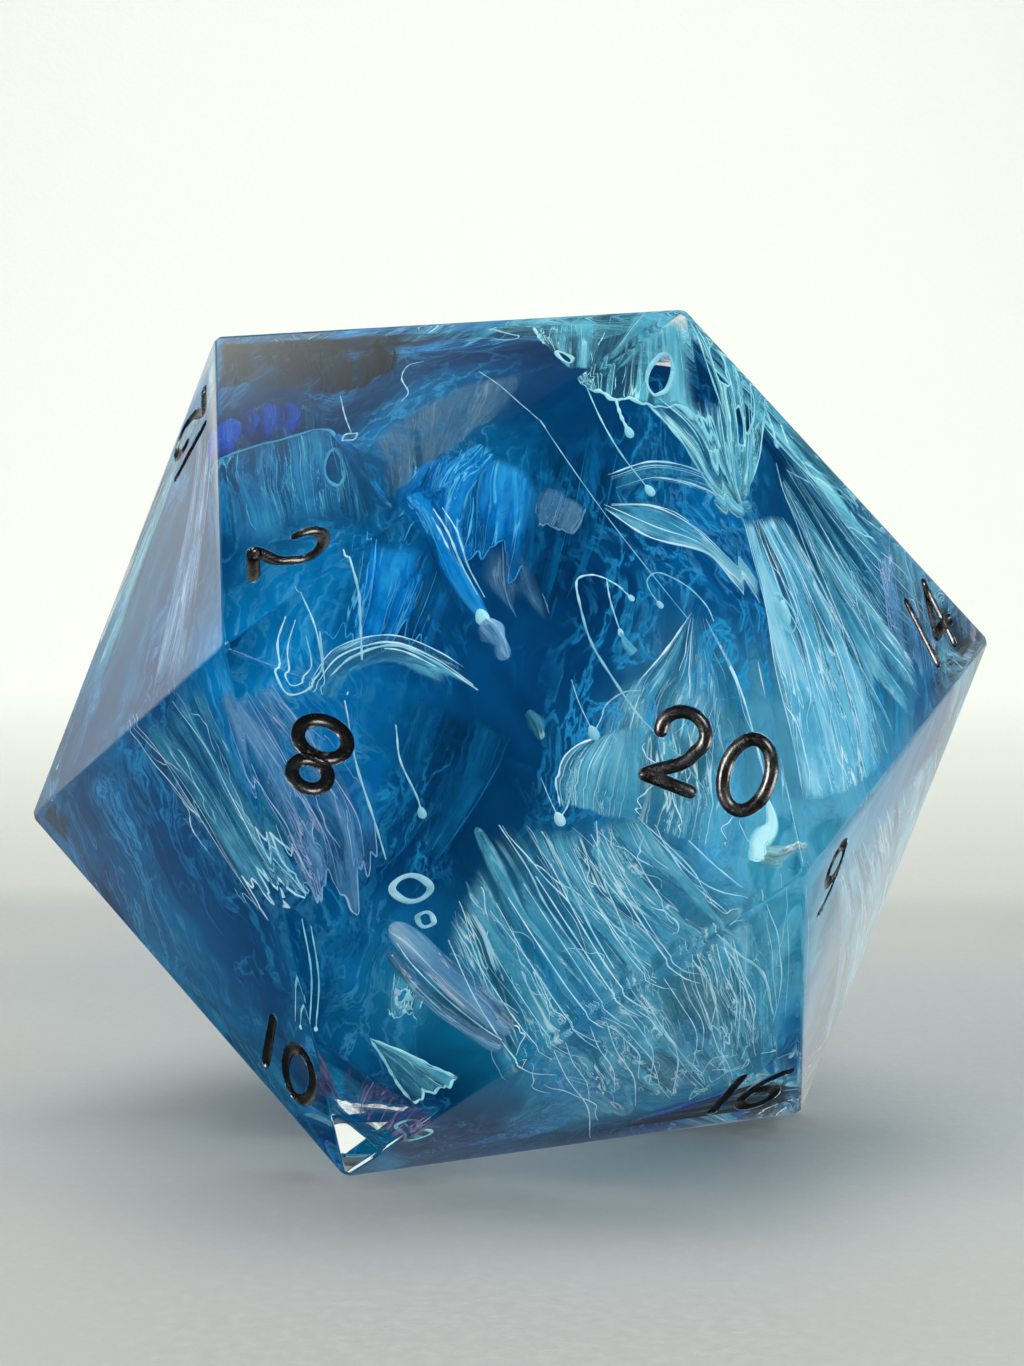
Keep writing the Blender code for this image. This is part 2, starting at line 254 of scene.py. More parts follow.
def stroke_shell(points, closed, shape):
    """One closed shell along a stroke with ball-shaped ends, in its face's own frame."""
    bm = bmesh.new()
    line = [Vector(p) * DIGIT_HEIGHT for p in points]
    count = len(line)
    half = max(across for across, up in shape)
    tangents = []
    for i in range(count):
        before = line[i - 1] if closed or i else line[i]
        after = line[(i + 1) % count] if closed or i < count - 1 else line[i]
        tangents.append((after - before).normalized())
    stations = [(line[i], tangents[i], 1.0) for i in range(count)]
    if not closed:
        for turn in (30, 55, 75):
            size, reach = math.cos(math.radians(turn)), half * math.sin(math.radians(turn))
            stations.insert(0, (line[0] - tangents[0] * reach, tangents[0], size))
            stations.append((line[-1] + tangents[-1] * reach, tangents[-1], size))
    rows = []
    for place, tangent, size in stations:
        side = Vector((-tangent.y, tangent.x))
        row = []
        for across, up in shape:
            flat = place + side * across * size
            row.append(bm.verts.new((flat.x, flat.y, up if up > 0 else up * (0.35 + 0.65 * size))))
        rows.append(row)
    loops = len(rows) if closed else len(rows) - 1
    for i in range(loops):
        here, there = rows[i], rows[(i + 1) % len(rows)]
        for k in range(len(here)):
            after = (k + 1) % len(here)
            bm.faces.new((here[k], here[after], there[after], there[k]))
    if not closed:
        bm.faces.new(rows[0])
        bm.faces.new(list(reversed(rows[-1])))
    return mesh_from("stroke", bm)


def digit_places(number):
    text = str(number)
    if len(text) == 1:
        return [(text, 0.0)]
    pitch = ONE_PITCH if text[0] == "1" else DIGIT_PITCH
    if text == "11":
        pitch = PAIR_OF_ONES_PITCH
    return [(text[0], -pitch / 2), (text[1], pitch / 2)]


def combined(name, first, others, operation):
    for other in others:
        join = first.modifiers.new(operation.lower(), "BOOLEAN")
        join.operation, join.solver, join.object = operation, "MANIFOLD", other
    graph = bpy.context.evaluated_depsgraph_get()
    mesh = bpy.data.meshes.new_from_object(first.evaluated_get(graph))
    mesh.name = name
    for used in (first, *others):
        bpy.data.objects.remove(used, do_unlink=True)
    return mesh


def united(name, shells):
    first, *others = [link(f"{name}_stroke", mesh) for mesh in shells]
    return combined(name, first, others, "UNION")


def digit_meshes(digit):
    """The groove and the paint inlay of one digit, in its own frame."""
    half = STROKE / 2 * DIGIT_HEIGHT
    grooves, inlays = [], []
    for i, (points, closed) in enumerate(strokes(digit)):
        step = STROKE_STEP * i
        grooves.append(stroke_shell(points, closed, groove_section(half + step, GROOVE_DEPTH + step)))
        shape = inlay_section(half + step - INLAY_GAP, GROOVE_DEPTH + step - INLAY_GAP)
        inlays.append(stroke_shell(points, closed, shape))
    return united(f"groove_{digit}", grooves), united(f"inlay_{digit}", inlays)


def make_numerals(paint):
    """Makes the paint of every numeral, and returns one mesh that cuts all of the grooves."""
    shapes = {digit: digit_meshes(digit) for digit in "0123456789"}
    cutter = bmesh.new()
    for number in sorted(FACES):
        inlay_bm = bmesh.new()
        for digit, x in digit_places(number):
            middle = EDGE - CENTRE_FROM_CORNER + x * DIGIT_HEIGHT
            place = FRAMES[number] @ Matrix.Translation((middle, BASELINE, 0))
            for into, mesh in zip((cutter, inlay_bm), shapes[digit]):
                copy = mesh.copy()
                copy.transform(place)
                into.from_mesh(copy)
                bpy.data.meshes.remove(copy)
        piece = link(f"inlay_{number:02d}", in_metres(mesh_from(f"inlay_{number:02d}", inlay_bm), 50), paint)
        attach(piece, "root")
        if number < 10:
            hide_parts(f"numeral_{number:02d}")
        else:
            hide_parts(f"numeral_{number:02d}_digit_1", f"numeral_{number:02d}_digit_2")
    return mesh_from("grooves", cutter)


def make_resin(grooves, resin):
    blank = link("blank", mesh_from("blank", icosahedron()))
    cutter = link("cutter", grooves)
    body = link("resin_clear", in_metres(combined("resin_clear", blank, [cutter], "DIFFERENCE"), 18), resin)
    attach(body, "root")
    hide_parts("resin_body")
    return body


# ==== materials

class Nodes:
    """A short way to write node trees: each call adds a node and returns one of its outputs."""

    def __init__(self, tree):
        self.tree = tree

    def put(self, socket, value):
        if isinstance(value, bpy.types.NodeSocket):
            self.tree.links.new(value, socket)
        elif hasattr(value, "__len__") and len(value) == 3 and socket.type == "RGBA":
            socket.default_value = (*value, 1.0)
        else:
            socket.default_value = value

    def add(self, kind, inputs=None, out=0, **settings):
        node = self.tree.nodes.new(kind)
        for key, value in settings.items():
            setattr(node, key, value)
        for key, value in (inputs or {}).items():
            self.put(node.inputs[key], value)
        return node.outputs[out]

    def place(self):
        return self.add("ShaderNodeTexCoord", out="Object")

    def uv(self):
        return self.add("ShaderNodeTexCoord", out="UV")

    def attribute(self, name, out="Fac"):
        return self.add("ShaderNodeAttribute", out=out, attribute_name=name)

    def scaled(self, vector, scale, shift=(0, 0, 0), turn=(0, 0, 0)):
        return self.add("ShaderNodeMapping", {"Vector": vector, "Scale": scale,
                                              "Location": shift, "Rotation": turn})

    def noise(self, vector, scale, detail=4.0, rough=0.5, distortion=0.0, out="Fac"):
        return self.add("ShaderNodeTexNoise", {"Vector": vector, "Scale": scale, "Detail": detail,
                                               "Roughness": rough, "Distortion": distortion}, out)

    def math(self, operation, a, b=0.0, clamp=False):
        return self.add("ShaderNodeMath", {0: a, 1: b}, operation=operation, use_clamp=clamp)

    def ramp(self, value, low, high, to_low=0.0, to_high=1.0, kind="SMOOTHSTEP"):
        return self.add("ShaderNodeMapRange", {"Value": value, "From Min": low, "From Max": high,
                                               "To Min": to_low, "To Max": to_high},
                        interpolation_type=kind)

    def mix(self, share, a, b, blend="MIX"):
        """A mix of two colours: sockets 6, 7 and output 2 are the node's colour ones."""
        return self.add("ShaderNodeMix", {0: share, 6: a, 7: b}, 2, data_type="RGBA", blend_type=blend)

    def tinted(self, colour, factor):
        """The colour multiplied by a constant one."""
        return self.mix(1.0, colour, factor, "MULTIPLY")

    def moved(self, vector, amount, scale):
        """The vector pushed about by a soft noise."""
        push = self.noise(vector, scale, 2.0, out="Color")
        push = self.add("ShaderNodeVectorMath", {0: push, 1: (0.5, 0.5, 0.5)}, operation="SUBTRACT")
        push = self.add("ShaderNodeVectorMath", {0: push, "Scale": amount}, operation="SCALE")
        return self.add("ShaderNodeVectorMath", {0: vector, 1: push}, operation="ADD")

    def ridges(self, value, width):
        """Thin bright lines where a noise crosses its middle."""
        off = self.math("ABSOLUTE", self.math("SUBTRACT", value, 0.5))
        return self.ramp(off, 0.0, width, 1.0, 0.0)

    def bump(self, height, strength, distance):
        return self.add("ShaderNodeBump", {"Height": height, "Strength": strength, "Distance": distance})


class Shader(Nodes):
    """A new material with its nodes."""

    def __init__(self, name):
        self.material = bpy.data.materials.new(name)
        self.material.use_nodes = True
        super().__init__(self.material.node_tree)
        self.main = self.tree.nodes["Principled BSDF"]
        self.output = self.tree.nodes["Material Output"]

    def set(self, **inputs):
        for key, value in inputs.items():
            self.put(self.main.inputs[key.replace("_", " ")], value)


def resin_material():
    s = Shader("clear_resin_polished")
    place = s.place()
    haze = s.noise(place, 260.0, 3.0)
    polish = s.noise(s.scaled(place, (1, 1, 1), turn=(0.4, 0.7, 0.2)), 900.0, 2.0)
    s.set(Base_Color=(0.965, 0.985, 0.99), IOR=1.50, Transmission_Weight=1.0, Specular_IOR_Level=0.12)
    s.set(Roughness=s.ramp(haze, 0.35, 0.75, 0.0, 0.012))
    s.set(Normal=s.bump(polish, 0.015, 0.00001))
    shadow = s.add("ShaderNodeLightPath", out="Is Shadow Ray")
    clear = s.add("ShaderNodeBsdfTransparent", {"Color": (0.93, 0.97, 0.98)})
    both = s.add("ShaderNodeMixShader", {0: shadow, 1: s.main.outputs[0], 2: clear})
    s.tree.links.new(both, s.output.inputs["Surface"])
    return s.material


def paint_material():
    s = Shader("gunmetal_paint_look")
    place = s.place()
    flake = s.add("ShaderNodeTexVoronoi", {"Vector": place, "Scale": 16000.0}, "Color")
    cloud = s.noise(place, 1400.0, 4.0)
    colour = s.mix(s.ramp(cloud, 0.3, 0.7), (0.065, 0.06, 0.055), (0.25, 0.24, 0.225))
    s.set(Base_Color=s.mix(s.math("MULTIPLY", flake, 0.35), colour, (0.55, 0.52, 0.49)))
    s.set(Metallic=1.0, Roughness=s.ramp(cloud, 0.2, 0.8, 0.16, 0.32))
    s.set(Normal=s.bump(s.math("ADD", cloud, s.math("MULTIPLY", flake, 0.25)), 0.35, 0.00008))
    return s.material


# ==== camera, light, floor: linear colours, watts and millimetres

ROOM_IN_FRONT = (0.030, 0.034, 0.040)
ROOM_BEHIND = (0.97, 1.0, 0.93)
ROOM_TO_LOOK_AT = (0.955, 0.99, 0.925)
ROOM_BELOW = 0.35
SOFT_WHITE = (1.0, 1.0, 0.96)
CEILING_POWER = 1.45
CEILING_SPREAD = 110
CEILING_TILT = (-12, 10, 0)
SWEEP_START = 62.0
SWEEP_RADIUS = 140.0
SWEEP_TOP = 200.0
SWEEP_HALF_WIDTH = 1400.0
SWEEP_STEPS = 24


def make_camera():
    data = bpy.data.cameras.new("camera")
    data.lens = CAMERA_LENS
    data.sensor_width = SENSOR
    data.clip_start = 0.005
    data.clip_end = 20.0
    camera = bpy.data.objects.new("camera", data)
    bpy.context.scene.collection.objects.link(camera)
    camera.matrix_world = (
        Matrix.Translation(Vector(CAMERA_PLACE) * MM)
        @ Matrix.Rotation(math.radians(-CAMERA_YAW), 4, "Z")
        @ Matrix.Rotation(math.radians(90 + CAMERA_PITCH), 4, "X")
        @ Matrix.Rotation(math.radians(CAMERA_ROLL), 4, "Z")
    )
    bpy.context.scene.camera = camera
    return camera


def make_world():
    """A room that is dark in front of the die and bright behind it, and a pale one to look at."""
    world = bpy.data.worlds.new("studio")
    world.use_nodes = True
    bpy.context.scene.world = world
    s = Nodes(world.node_tree)
    heading = s.add("ShaderNodeTexCoord", out="Generated")
    backwards = s.add("ShaderNodeSeparateXYZ", {0: heading}, "Y")
    upwards = s.add("ShaderNodeSeparateXYZ", {0: heading}, "Z")
    behind = s.ramp(backwards, 0.30, 1.00)
    above = s.ramp(upwards, -0.45, 0.0, ROOM_BELOW, 1.0, "LINEAR")
    room = s.mix(s.math("MULTIPLY", behind, above), ROOM_IN_FRONT, ROOM_BEHIND)
    seen = s.add("ShaderNodeLightPath", out="Is Camera Ray")
    background = s.tree.nodes["Background"]
    s.put(background.inputs["Color"], s.mix(seen, room, ROOM_TO_LOOK_AT))
    background.inputs["Strength"].default_value = 1.0


def lamp_of(name, kind, power, reflected):
    data = bpy.data.lights.new(name, kind)
    data.energy = power
    lamp = bpy.data.objects.new(name, data)
    bpy.context.scene.collection.objects.link(lamp)
    lamp.visible_glossy = reflected
    lamp.visible_transmission = reflected
    lamp.visible_camera = False
    return lamp


def area_light(name, place, target, size, power, colour, reflected=True):
    lamp = lamp_of(name, "AREA", power, reflected)
    lamp.data.shape = "DISK"
    lamp.data.size = size * MM
    lamp.data.color = colour
    lamp.location = Vector(place) * MM
    aim = (Vector(target) - Vector(place)).normalized()
    lamp.rotation_mode = "QUATERNION"
    lamp.rotation_quaternion = aim.to_track_quat("-Z", "Y")


def make_lights():
    """Soft lamps that keep clear of the directions the front faces mirror."""
    area_light("key_left", (-290, -110, 300), CENTRE, 170, 0.31, (1.0, 0.99, 0.96))
    area_light("front_fill", (-120, -350, 40), CENTRE, 150, 0.21, (0.94, 0.97, 1.0))
    area_light("right_fill", (300, -190, 120), CENTRE, 150, 0.41, (0.96, 0.98, 1.0))
    area_light("wall_wash", (0, 60, 330), (0, 200, 90), 200, 0.62, SOFT_WHITE, False)


def make_ceiling():
    """Even light from a wide stretch of sky, which keeps the table bright at every distance."""
    ceiling = lamp_of("ceiling", "SUN", CEILING_POWER, False)
    ceiling.data.angle = math.radians(CEILING_SPREAD)
    ceiling.rotation_euler = [math.radians(tilt) for tilt in CEILING_TILT]


def floor_material():
    """Fine-grained paper that turns from cool grey on the table to warm white up the wall, with painted
    shade: a broad painted shadow across the table and a wall painted darker towards its foot.
    """
    s = Shader("paper_sweep")
    place = s.place()
    height = s.add("ShaderNodeSeparateXYZ", {0: place}, "Z")
    fibre = s.noise(place, 1500.0, 5.0, 0.65)
    # This slow noise paints a broad shadow that comes and goes across the table.
    cloud = s.noise(place, 9.0, 2.0)
    paper = s.mix(s.ramp(cloud, 0.35, 0.65), (0.37, 0.40, 0.41), (0.50, 0.51, 0.49))
    paper = s.mix(s.math("MULTIPLY", s.ramp(fibre, 0.40, 0.75), 0.16), paper, (0.72, 0.74, 0.73))
    # Painted shade: the wall is painted darker towards its foot, where the sweep curves down to the table.
    wall = s.mix(s.ramp(height, -0.003, 0.016, kind="LINEAR"), (0.46, 0.475, 0.45), (0.87, 0.90, 0.84))
    s.set(Base_Color=s.mix(s.ramp(height, 0.0, 0.0012), paper, wall))
    s.set(Roughness=s.ramp(fibre, 0.3, 0.7, 0.55, 0.75), Normal=s.bump(fibre, 0.3, 0.0002))
    return s.material


def make_sweep():
    """A sheet of pale paper: flat under the die, then curved up into the wall behind it.

    The die's faces don't mirror it, as with a polarising filter on the lens.
    """
    bm = bmesh.new()
    profile = [(-1600.0, 0.0), (-300.0, 0.0), (SWEEP_START, 0.0)]
    for i in range(1, SWEEP_STEPS + 1):
        turn = math.radians(90 * i / SWEEP_STEPS)
        profile.append((SWEEP_START + SWEEP_RADIUS * math.sin(turn), SWEEP_RADIUS * (1 - math.cos(turn))))
    profile.append((SWEEP_START + SWEEP_RADIUS, SWEEP_TOP))
    rows = [[bm.verts.new((x, y, z)) for y, z in profile] for x in (-SWEEP_HALF_WIDTH, SWEEP_HALF_WIDTH)]
    for k in range(len(profile) - 1):
        bm.faces.new((rows[0][k], rows[1][k], rows[1][k + 1], rows[0][k + 1]))
    floor = link("paper_sweep", in_metres(mesh_from("paper_sweep", bm), 60), floor_material())
    floor.visible_glossy = False


def set_render_quality():
    """More bounces than usual, because light turns many times inside the resin."""
    cycles = bpy.context.scene.cycles
    cycles.max_bounces = 20
    cycles.diffuse_bounces = 3
    cycles.glossy_bounces = 12
    cycles.transmission_bounces = 20
    cycles.transparent_max_bounces = 40
    cycles.sample_clamp_indirect = 4.0
    cycles.blur_glossy = 0.6
    cycles.use_denoising = True
    bpy.context.scene.view_settings.view_transform = "Standard"


# ==== inks: sheets, threads, ribbons and drops laid out under the faces of the die

SEED = 20
WALL = 0.55            # the least distance of any ink from a polished face
TUBE_WALL = WALL * 0.6
SHEET_STEP = 0.16      # grid step of a sheet
FEWEST_STEPS = 12
MOST_STEPS = 110
HOLE_OPEN = 0.80       # a hole is open to this share of its size
HOLE_SNAP = 1.12       # grid points up to this share move onto its edge
FLOW_TURN = (0.15, -0.50, 0.0)  # radians from upright to the way the inks sank
IN_RESIN = 0.0         # ink set in resin has no gloss of its own
THREAD_SCALE = 0.62    # threads are this much finer than their given radius
THREAD_TAIL = 0.35     # how thick a thread still is at its ends
THREAD_SIDES = 6
RIBBON_SIDES = 18
FLUTE_COUNT = 5

LOOKS = {
    # name: wash and line in sRGB, how much of the wash shows, how much of the line shows
    "cyan": ((84, 172, 196), (196, 248, 250), 0.88, 0.9),
    "white": ((72, 164, 194), (212, 243, 247), 0.80, 0.85),
    "mist": ((44, 140, 174), (172, 222, 236), 0.62, 0.55),
    "smoke": ((70, 108, 136), (120, 152, 176), 0.80, 0.2),
    "fog": ((66, 116, 150), (132, 168, 192), 0.66, 0.3),
    "lavender": ((84, 148, 192), (200, 210, 234), 0.62, 0.7),
    "azure": ((0, 122, 196), (100, 204, 240), 0.90, 0.6),
    "teal": ((8, 104, 156), (96, 190, 218), 0.80, 0.5),
    "cobalt": ((0, 70, 176), (20, 140, 226), 0.90, 0.4),
    "pale": ((92, 182, 212), (226, 247, 250), 0.86, 0.8),
    "deep": ((0, 78, 126), (20, 128, 180), 0.80, 0.4),
    "haze": ((98, 178, 200), (210, 240, 246), 0.60, 0.5),
    "spark": ((186, 244, 250), (246, 254, 254), 1.0, 0.9),
    # The two darkest looks are no inks but painted shade: dark sheets put where clear resin looks dark near
    # the corners and edges.
    "painted_dark_shade": ((34, 50, 60), (18, 24, 30), 1.0, 0.6),
    "shadow": ((36, 46, 56), (16, 22, 28), 1.0, 0.4),
    "thread": ((126, 204, 232), (240, 251, 252), 0.9, 0.9),
    "satin": ((92, 152, 192), (226, 240, 248), 0.92, 0.7),
    "plum": ((74, 62, 104), (150, 138, 176), 0.80, 0.4),
}


def linear(rgb):
    """sRGB in 0 to 255 as linear light."""
    shares = [value / 255 for value in rgb]
    return tuple(s / 12.92 if s < 0.04045 else ((s + 0.055) / 1.055) ** 2.4 for s in shares)


def weights(t, count):
    """Catmull-Rom weights of count control points at each parameter in t, from 0 to 1."""
    t = np.clip(np.asarray(t, float), 0, 1)
    found = np.zeros((len(t), count))
    s = t * (count - 1)
    i = np.minimum(s.astype(int), count - 2)
    f = s - i
    shares = (
        (-f + 2 * f**2 - f**3) / 2, (2 - 5 * f**2 + 3 * f**3) / 2,
        (f + 4 * f**2 - 3 * f**3) / 2, (-(f**2) + f**3) / 2,
    )
    rows = np.arange(len(t))
    for step, share in zip((-1, 0, 1, 2), shares):
        k = i + step
        inside = (k >= 0) & (k < count)
        np.add.at(found, (rows[inside], k[inside]), share[inside])
        low, high = k < 0, k >= count
        for out, near, next_one in ((low, 0, 1), (high, count - 1, count - 2)):
            np.add.at(found, (rows[out], np.full(out.sum(), near)), 2 * share[out])
            np.add.at(found, (rows[out], np.full(out.sum(), next_one)), -share[out])
    return found


def length_of(line):
    return np.linalg.norm(np.diff(line, axis=0), axis=1).sum()


def curve(points, t):
    return weights(t, len(points)) @ np.asarray(points, float)


NORMALS = np.array([FRAMES[n].to_3x3().col[2] for n in sorted(FACES)])


def kept_inside(points, margin=WALL):
    """Moves points that come too near a face back into the resin."""
    points = np.array(points, float)
    middle = np.array(CENTRE)
    for _ in range(3):
        over = (points - middle) @ NORMALS.T - (INRADIUS - margin)
        worst = over.argmax(axis=1)
        push = np.maximum(over.max(axis=1), 0)
        points -= push[:, None] * NORMALS[worst]
    return points


def to_die(face, points):
    """Points given in a face's axes, as (x, y, depth), in the die's frame."""
    turn = np.array(FRAMES[face].to_3x3())
    flat = np.array(points, float) * (1, 1, -1)
    return flat @ turn.T + np.array(FRAMES[face].translation)


def with_depth(points, depth):
    return [(p[0], p[1], p[2] if len(p) > 2 else depth) for p in points]


class Batch:
    """Vertices, faces, texture places and fades of one piece, with a material slot for each look."""

    def __init__(self):
        self.points, self.faces, self.uvs, self.fades = [], [], [], []
        self.slots, self.looks, self.count = [], [], 0

    def take(self, points, faces, uvs, fades, look):
        if look not in self.looks:
            self.looks.append(look)
        self.points.append(points)
        self.uvs.append(uvs)
        self.fades.append(fades)
        self.faces.extend([tuple(k + self.count for k in face) for face in faces])
        self.slots.extend([self.looks.index(look)] * len(faces))
        self.count += len(points)

    def object(self, name, materials):
        mesh = bpy.data.meshes.new(name)
        points, uvs = np.concatenate(self.points), np.concatenate(self.uvs)
        mesh.from_pydata((points * MM).tolist(), [], self.faces)
        for look in self.looks:
            mesh.materials.append(materials[look])
        mesh.polygons.foreach_set("material_index", self.slots)
        fade = mesh.attributes.new("fade", "FLOAT", "POINT")
        fade.data.foreach_set("value", np.concatenate(self.fades).astype(np.float32))
        layer = mesh.uv_layers.new(name="flow")
        corner = np.empty(len(mesh.loops), np.int32)
        mesh.loops.foreach_get("vertex_index", corner)
        layer.data.foreach_set("uv", uvs[corner].astype(np.float32).ravel())
        mesh.shade_smooth()
        mesh.update()
        return link(name, mesh)


SHEETS, SOLIDS = {}, {}
DRAW = random.Random(SEED)
noise.seed_set(SEED)   # without a seed, noise_vector starts from the clock


def batch_of(kind, ink):
    """The batch of one ink in SHEETS or SOLIDS. The first use of an ink sets its place in them."""
    return kind.setdefault(ink, Batch())


def tube(ink, line, wide, thick, look, up, sides=THREAD_SIDES, flutes=0.0, phase=0.0, soft=False):
    """A closed body along a line of points. wide and thick are its half sizes at each point.

    A soft one has a see-through look and fades out at its ends and edges, as the sheets do.
    """
    line = np.asarray(line, float)
    count = len(line)
    tangent = np.gradient(line, axis=0)
    tangent /= np.linalg.norm(tangent, axis=1)[:, None] + 1e-9
    side = np.cross(np.asarray(up, float), tangent)
    side /= np.linalg.norm(side, axis=1)[:, None] + 1e-9
    top = np.cross(tangent, side)
    turns = 2 * math.pi * np.arange(sides) / sides
    swell = 1 + flutes * np.sin(turns[None, :] * FLUTE_COUNT + phase + np.linspace(0, 3, count)[:, None])
    across = np.asarray(wide)[:, None] * np.cos(turns)[None, :] * swell
    above = np.asarray(thick)[:, None] * np.sin(turns)[None, :] * swell
    points = line[:, None] + side[:, None] * across[..., None] + top[:, None] * above[..., None]
    along = np.concatenate([[0], np.cumsum(np.linalg.norm(np.diff(line, axis=0), axis=1))])
    uvs = np.stack(np.broadcast_arrays(across + above * 0.3 + phase * 3, along[:, None]), axis=-1)
    faces = []
    for i in range(count - 1):
        for k in range(sides):
            after = (k + 1) % sides
            faces.append((i * sides + k, i * sides + after, (i + 1) * sides + after, (i + 1) * sides + k))
    faces.append(tuple(range(sides))[::-1])
    faces.append(tuple((count - 1) * sides + k for k in range(sides)))
    flat = kept_inside(points.reshape(-1, 3), TUBE_WALL)
    if not soft:
        batch_of(SOLIDS, ink).take(flat, faces, uvs.reshape(-1, 2), np.ones(len(flat)), look)
        return
    ends = np.clip(9 * np.sin(math.pi * np.linspace(0, 1, count)), 0, 1)
    fades = np.outer(ends, 1 - np.abs(np.cos(turns)) ** 7).ravel()
    batch_of(SHEETS, ink).take(flat, faces, uvs.reshape(-1, 2), fades, look)


def drop(ink, place, size, look, along, up, stretch=1.5):
    """A small round or tear-shaped bead of ink."""
    t = np.linspace(0.02, 0.98, 11)
    profile = size * np.sqrt(1 - (2 * t - 1) ** 2) * (0.75 + 0.45 * t)
    line = np.asarray(place) + np.outer((t - 0.5) * 2 * size * stretch, along)
    tube(ink, line, profile, profile * 0.8, look, up, 12, 0.04, size * 7)


def bead_on(ink, face, place, size, look, along, stretch=1.5):
    """A bead at (x, y, depth) of a face."""
    drop(ink, to_die(face, [place])[0], size, look, along, FRAMES[face].to_3x3().col[2], stretch)


def thread(ink, face, depth, points, radius=0.05, look="white", bead=0.0):
    """A fine thread of ink, thinner to its ends, with a bead of the given radius at its far end."""
    placed = to_die(face, with_depth(points, depth))
    count = 10 * len(points)
    t = np.linspace(0, 1, count)
    line = curve(placed, t)
    taper = THREAD_TAIL + (1 - THREAD_TAIL) * np.sin(math.pi * np.clip(t, 0.04, 0.96)) ** 0.5
    beat = THREAD_SCALE * (1 + 0.25 * np.sin(9 * t * len(points) + 5 * radius + placed[0][0]))
    up = FRAMES[face].to_3x3().col[2]
    tube(ink, line, radius * taper * beat, radius * taper * beat, look, up)
    if bead:
        along = line[-1] - line[-3]
        along /= np.linalg.norm(along)
        drop(ink, line[-1], 0.8 * bead, look, along, up)


def ribbon(ink, face, depth, points, widths, look, thick=0.22, flutes=0.12):
    """A flat tongue of ink. widths are its half widths, spread evenly along it."""
    placed = to_die(face, with_depth(points, depth))
    t = np.linspace(0, 1, 12 * len(points))
    line = curve(placed, t)
    wide = curve([(w,) for w in widths], t)[:, 0]
    ends = np.sqrt(np.clip(1 - np.abs(2 * t - 1) ** 9, 0.02, 1))
    wide = np.maximum(wide * ends * (1 + 0.10 * np.sin(13 * t + depth * 9)), 0.03)
    up = FRAMES[face].to_3x3().col[2]
    tube(ink, line, wide, np.minimum(wide, thick * (0.6 + 0.4 * ends)), look, up,
         RIBBON_SIDES, flutes, depth * 5, True)


def ring_of_ink(ink, face, depth, centre, rx, ry, radius, look, turn=0.0):
    """An uneven ring, turned by turn degrees in its face."""
    angles = np.radians(np.linspace(0, 362, 40))
    x, y = rx * np.cos(angles), ry * np.sin(angles)
    c, s = math.cos(math.radians(turn)), math.sin(math.radians(turn))
    wave = depth + 0.12 * np.sin(3 * angles)
    flat = np.stack([centre[0] + c * x - s * y, centre[1] + s * x + c * y, wave], axis=1)
    beat = 0.75 * radius * (1 + 0.3 * np.sin(2 * angles + rx))
    tube(ink, to_die(face, flat), beat, beat * 0.7, look, FRAMES[face].to_3x3().col[2], 8)


def combed_threads(ink, face, count, start, run, reaches, bends, way):
    """Fine threads side by side, which begin along a line that goes by run from start.

    way gives each thread's points as (x, y, share of its bend), with x and y in shares of its
    own reach.
    """
    for k in range(count):
        share = (k + DRAW.uniform(-0.3, 0.3)) / count
        x, y = start[0] + run[0] * share, start[1] + run[1] * share
        reach = DRAW.uniform(*reaches)
        bend = DRAW.uniform(-bends, bends)
        depth = DRAW.uniform(1.3, 2.0)
        points = [(x + right * reach, y + up * reach + bent * bend) for right, up, bent in way]
        thread(ink, face, depth, points, DRAW.uniform(0.03, 0.06), "thread")


